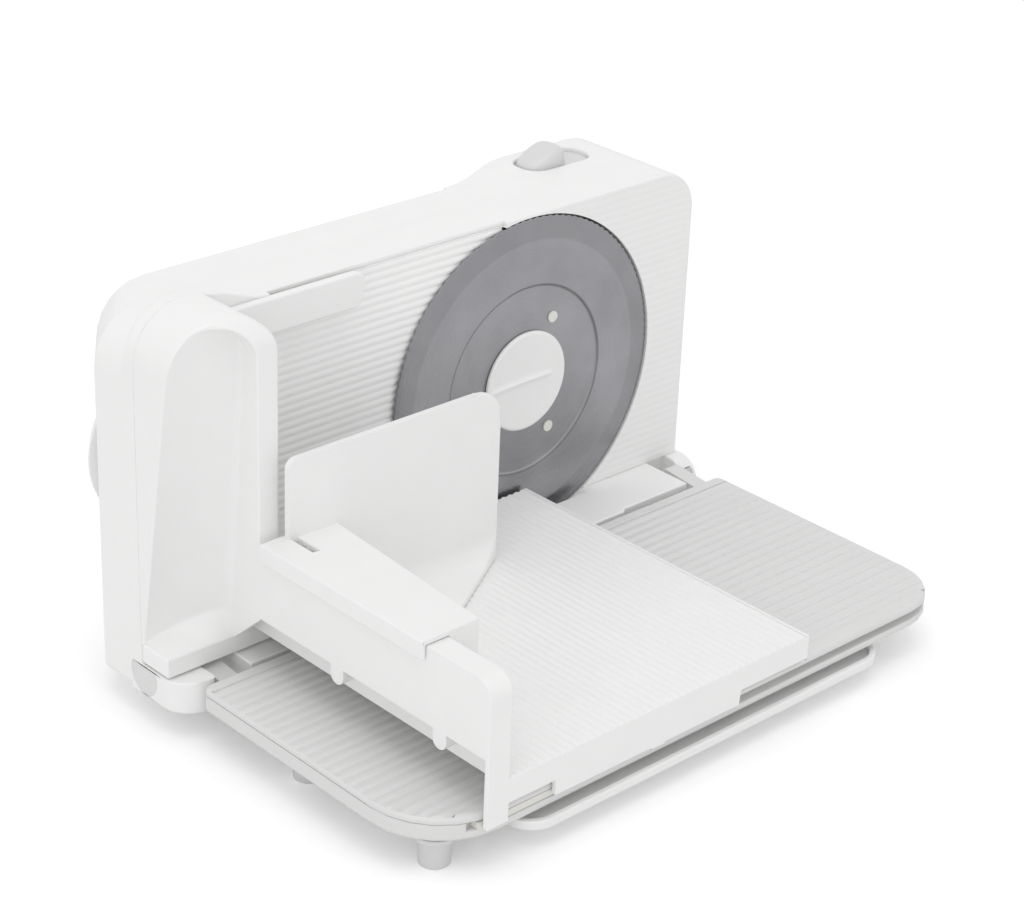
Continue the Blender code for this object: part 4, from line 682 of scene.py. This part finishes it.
def ribbed_plate(name, node, z, sides, depths, ribs, apart_from, border, edge, finish=None):
    """A plate of level rows, each from left(z) to right(z), with a ribbed front and a flat back.

    The ribs fade within `border` of the outline, and the front rolls back over its last `edge` as
    a quarter circle, at the distance apart_from(x, z) from the outline.
    """
    low, high = (side(z) for side in sides)
    front, back = depths
    near = np.array([0.0, 0.06, 0.25, 0.6, 1.0]) * edge * 1.1
    fade = np.linspace(edge * 1.3, max(border, edge * 1.6), 6)
    steps = np.minimum(np.concatenate([near, fade])[None, :], (high - low)[:, None] * 0.45)
    x = np.concatenate([low[:, None] + steps, high[:, None] - steps[:, ::-1]], 1)
    tall = np.broadcast_to(z[:, None], x.shape)
    apart = apart_from(x, tall)
    grooves = rib_depth(tall, ribs) * step_share(apart, edge * 0.8, border)
    y = front + grooves + quarter_round(np.clip(edge - apart, 0.0, edge), edge)
    face = np.stack([x, np.minimum(y, back - 0.0002), tall], -1)
    rear = face[:, ::-1].copy()
    rear[:, :, 1] = back
    made = closed_strip(name, np.concatenate([face, rear], 1), 55.0)
    return keep_as_piece(made, node, finish=finish)


def gauge_face():
    """The gauge plate: from the housing's left to the blade's circle, x = -sqrt(R^2 - z^2)."""
    side, top, corner, circle = -0.2289, 0.0846, 0.0222, 0.0815
    reach = circle * math.sin(math.radians(78.0))

    def left(z):
        return side + quarter_round(np.clip(z - (top - corner), 0.0, corner * ARC_SHARE), corner)

    def right(z):
        return -np.sqrt(circle ** 2 - np.minimum(np.abs(z), reach) ** 2)

    def apart_from(x, z):
        return np.minimum(top - z, z - PLATE_FOOT + 0.001)

    z = np.concatenate([np.linspace(PLATE_FOOT, top - 0.002, 540)[:-1],
                        top - 0.002 * np.linspace(1, 0, 14) ** 2])
    # The plate takes the paler copy of the white moulding, which paints light onto it
    made = ribbed_plate("gauge_face", "gauge_plate", z, (left, right), (0.0, 0.0030), GAUGE_RIB_DEPTH,
                        apart_from, GAUGE_BORDER, GAUGE_EDGE, PLATE_PAINTED_LIGHT)
    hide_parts("gauge_plate")


def fixed_face():
    """The fixed plate, from the blade's recess to the housing's right and top, and its thin tip."""
    side, top, corner, circle, tip = 0.1127, 0.0868, 0.0224, 0.0853, -0.0164
    depths = (-0.0024, 0.0006)
    level, sliver = 0.0830, 0.00001
    heart = (side - corner, top - corner)

    def right(z):
        return side - quarter_round(np.clip(z - heart[1], 0.0, corner * ARC_SHARE), corner)

    def left(z):
        return np.where(z < circle, np.sqrt(np.maximum(circle ** 2 - z ** 2, 0.0)), tip)

    def tip_left(z):
        return np.full_like(z, tip)

    def tip_right(z):
        return -np.sqrt(np.maximum(circle ** 2 - z ** 2, 0.0)) + 2 * sliver

    def apart_from(x, z):
        around = corner - np.hypot(np.maximum(x - heart[0], 0.0), np.maximum(z - heart[1], 0.0))
        return np.minimum(around, np.minimum(side - x, top - z))

    z = np.concatenate([np.linspace(PLATE_FOOT, level, 545)[:-1],
                        np.linspace(level, circle - sliver, 12), [circle + sliver],
                        top - (top - circle - 2 * sliver) * np.linspace(1, 0, 12) ** 2])
    made = ribbed_plate("fixed_face", "fixed_plate", z, (left, right), depths, FIXED_RIB_DEPTH,
                        apart_from, FIXED_BORDER, FIXED_EDGE)
    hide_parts("fixed_plate")
    z = np.linspace(math.sqrt(circle ** 2 - tip ** 2), circle, 10)
    ribbed_plate("fixed_face_tip", "fixed_plate", z, (tip_left, tip_right), depths, 0.0,
                 apart_from, FIXED_BORDER, TIP_EDGE)


def cap_end():
    """The closed end of the holder's cap, down past the fence's top: a round edged slab."""
    outline = round_cornered([(-0.1823, -0.0300, 0.0006), (-0.1668, -0.0300, 0.0006),
                              (-0.1668, -0.0085, 0.0006), (-0.1823, -0.0085, 0.0006)])
    rounded_slab("cap_end", outline, -0.1517, -0.15345, 0.0004, "holder")


def switch_dome():
    """The power switch: a dome on a rounded plan, z = foot + h(x) (1 - s^6)^(1/2.6).

    s is the share of the way out from the middle, and the plan's own outline is
    |x/a|^2.6 + |y/b|^2.6 = 1. h rises to the right in a smooth S and eases off at the far end.
    """
    low, high = size_from_place("power_switch")
    middle, half = (low + high) / 2, (high - low) / 2
    roundness = 2.6
    share = np.concatenate([np.linspace(0, 0.8, 24), np.linspace(0.82, 1.0, 26)])[:, None]
    angle = np.linspace(0, 2 * np.pi, 120, endpoint=False)
    cos, sin = np.cos(angle), np.sin(angle)
    x = middle[0] + share * (half[0] * np.sign(cos) * np.abs(cos) ** (2 / roundness))
    y = middle[1] + share * (half[1] * np.sign(sin) * np.abs(sin) ** (2 / roundness))
    along = (x - low[0]) / (2 * half[0])
    eased = 1 - 0.10 * step_share(along, 0.75, 1.0)
    rise = (high[2] - low[2]) * (0.47 + 0.53 * step_share(along, 0.05, 0.72)) * eased
    z = low[2] + rise * (1 - share ** 6) ** (1 / roundness)
    bottom = np.stack([x[-1:], y[-1:], np.full((1, len(angle)), low[2] - 0.00001)], -1)
    grid = np.concatenate([np.stack([x, y, z], -1), bottom])
    made = smoothed(skin("switch_dome", grid, ends=True), 60.0)
    keep_as_piece(made, "power_switch", finish=SWITCH_GREY)
    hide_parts("power_switch")


blade_disc()
peg_heads()
knob_face()
guard_arch()
guard_panel()
finger_tab()
guard_foot()
gauge_face()
fixed_face()
switch_dome()
button_disc()
cap_end()

softened("front_shell", "shell_moulding", 0.0008, seam=(0.0250, 0.02513))
softened("rear_cover", "cover_moulding", 0.0010, seam=(0.0253, 0.02517))
softened("carriage", "carriage_moulding", 0.0004,
         cuts=(((0, 0, GUARD_START), (0, 0, 1)), ((GUARD_INNER + 0.00001, 0, 0), (-1, 0, 0))))
softened("holder", "holder_moulding", 0.0007)
softened("base_bottom", "base_tub_moulding", 0.0006)
softened("base_top", "base_lid_moulding", 0.0003, 2)
softened("slice_tray", "tray_moulding", 0.0006)
softened("thickness_dial", "dial_moulding", 0.0008, slot="white_plastic")
softened("dial_scale", "scale_moulding", 0.0003, 2, slot="white_plastic")
softened("switch_plate", "switch_seat_moulding", 0.0003, 2, finish=SWITCH_GREY)
for foot in [name for name in BODY_OF if "foot" in name]:
    softened(foot, f"{foot}_moulding", 0.0004)

for node, thing in frame["nodes"].items():
    for place in thing.material_slots:
        place.material = FINISHES[SLOT_OF[node]]


# Floor, light and camera

WHITE = (1.0, 1.0, 1.0, 1.0)
FLOOR_HALF, FLOOR_TONE, FLOOR_GLOW = 6, 0.93, 0.18
ROOM_LEVEL, LIGHT_BOUNCES = 0.80, 10


def stage_floor():
    """A plain pale floor that the slicer stands on."""
    far = FLOOR_HALF
    mesh = bpy.data.meshes.new("studio_floor")
    mesh.from_pydata([(-far, -far, 0), (far, -far, 0), (far, far, 0), (-far, far, 0)], [],
                     [(0, 1, 2, 3)])
    floor = in_scene("studio_floor", mesh)
    made, tree, shader = shader_of("pale_floor")
    seen = tree.nodes.new("ShaderNodeLightPath").outputs["Is Camera Ray"]
    fed(tree, shader, {
        "Base Color": (FLOOR_TONE, FLOOR_TONE, FLOOR_TONE, 1.0), "Roughness": 0.9,
        "Specular IOR Level": 0.1, "Emission Color": WHITE,
        "Emission Strength": counted(tree, "MULTIPLY", seen, FLOOR_GLOW)})
    mesh.materials.append(made)


def studio_world():
    """White all round: full white to the camera, and the studio's level to everything else."""
    world = bpy.data.worlds.new("studio")
    bpy.context.scene.world = world
    world.use_nodes = True
    tree = world.node_tree
    level = fed(tree, tree.nodes["Background"], {"Color": WHITE, "Strength": ROOM_LEVEL})
    white = fed(tree, tree.nodes.new("ShaderNodeBackground"), {"Color": WHITE, "Strength": 1.0})
    ray = tree.nodes.new("ShaderNodeLightPath")
    shown = ray.outputs["Is Camera Ray"]
    for kind in ("Is Glossy Ray", "Is Transmission Ray"):
        shown = counted(tree, "MAXIMUM", shown, ray.outputs[kind])
    mix = fed(tree, tree.nodes.new("ShaderNodeMixShader"), {
        "Fac": shown, 1: level.outputs["Background"], 2: white.outputs["Background"]})
    tree.links.new(mix.outputs["Shader"], tree.nodes["World Output"].inputs["Surface"])


def soft_light(name, place, size, power):
    """A large square light that faces the slicer."""
    data = bpy.data.lights.new(name, "AREA")
    data.size = size
    data.energy = power
    light = in_scene(name, data)
    light.location = Vector(place)
    light.rotation_euler = Vector(place).to_track_quat("Z", "Y").to_euler()


def photo_camera():
    """The camera's place and lens, worked out from the photograph."""
    turn, rise, roll = math.radians(-43.69), math.radians(26.24), math.radians(2.289)
    distance, focal_px, width_px, sensor = 1.2877, 2586.9, 1024, 36.0
    target = Vector((-0.0045, 0, -0.0425)) + Vector(PLACE)
    back = Vector((math.sin(turn) * math.cos(rise), -math.cos(turn) * math.cos(rise), math.sin(rise)))
    level = Vector((0, 0, 1)).cross(back).normalized()
    up = back.cross(level)
    right = level * math.cos(roll) + up * math.sin(roll)
    above = up * math.cos(roll) - level * math.sin(roll)
    data = bpy.data.cameras.new("photo_camera")
    data.lens = focal_px / width_px * sensor
    data.sensor_width = sensor
    data.clip_start = 0.01
    camera = in_scene("photo_camera", data)
    pose = Matrix((right, above, back)).transposed().to_4x4()
    pose.translation = target + back * distance
    camera.matrix_world = pose
    bpy.context.scene.camera = camera


stage_floor()
studio_world()
soft_light("key_light", (-0.4, -0.4, 2.7), 1.8, 13)
soft_light("fill_light", (-2.0, -1.2, 0.7), 1.6, 5)
photo_camera()
bpy.context.scene.view_settings.view_transform = "Standard"
bpy.context.scene.cycles.diffuse_bounces = LIGHT_BOUNCES
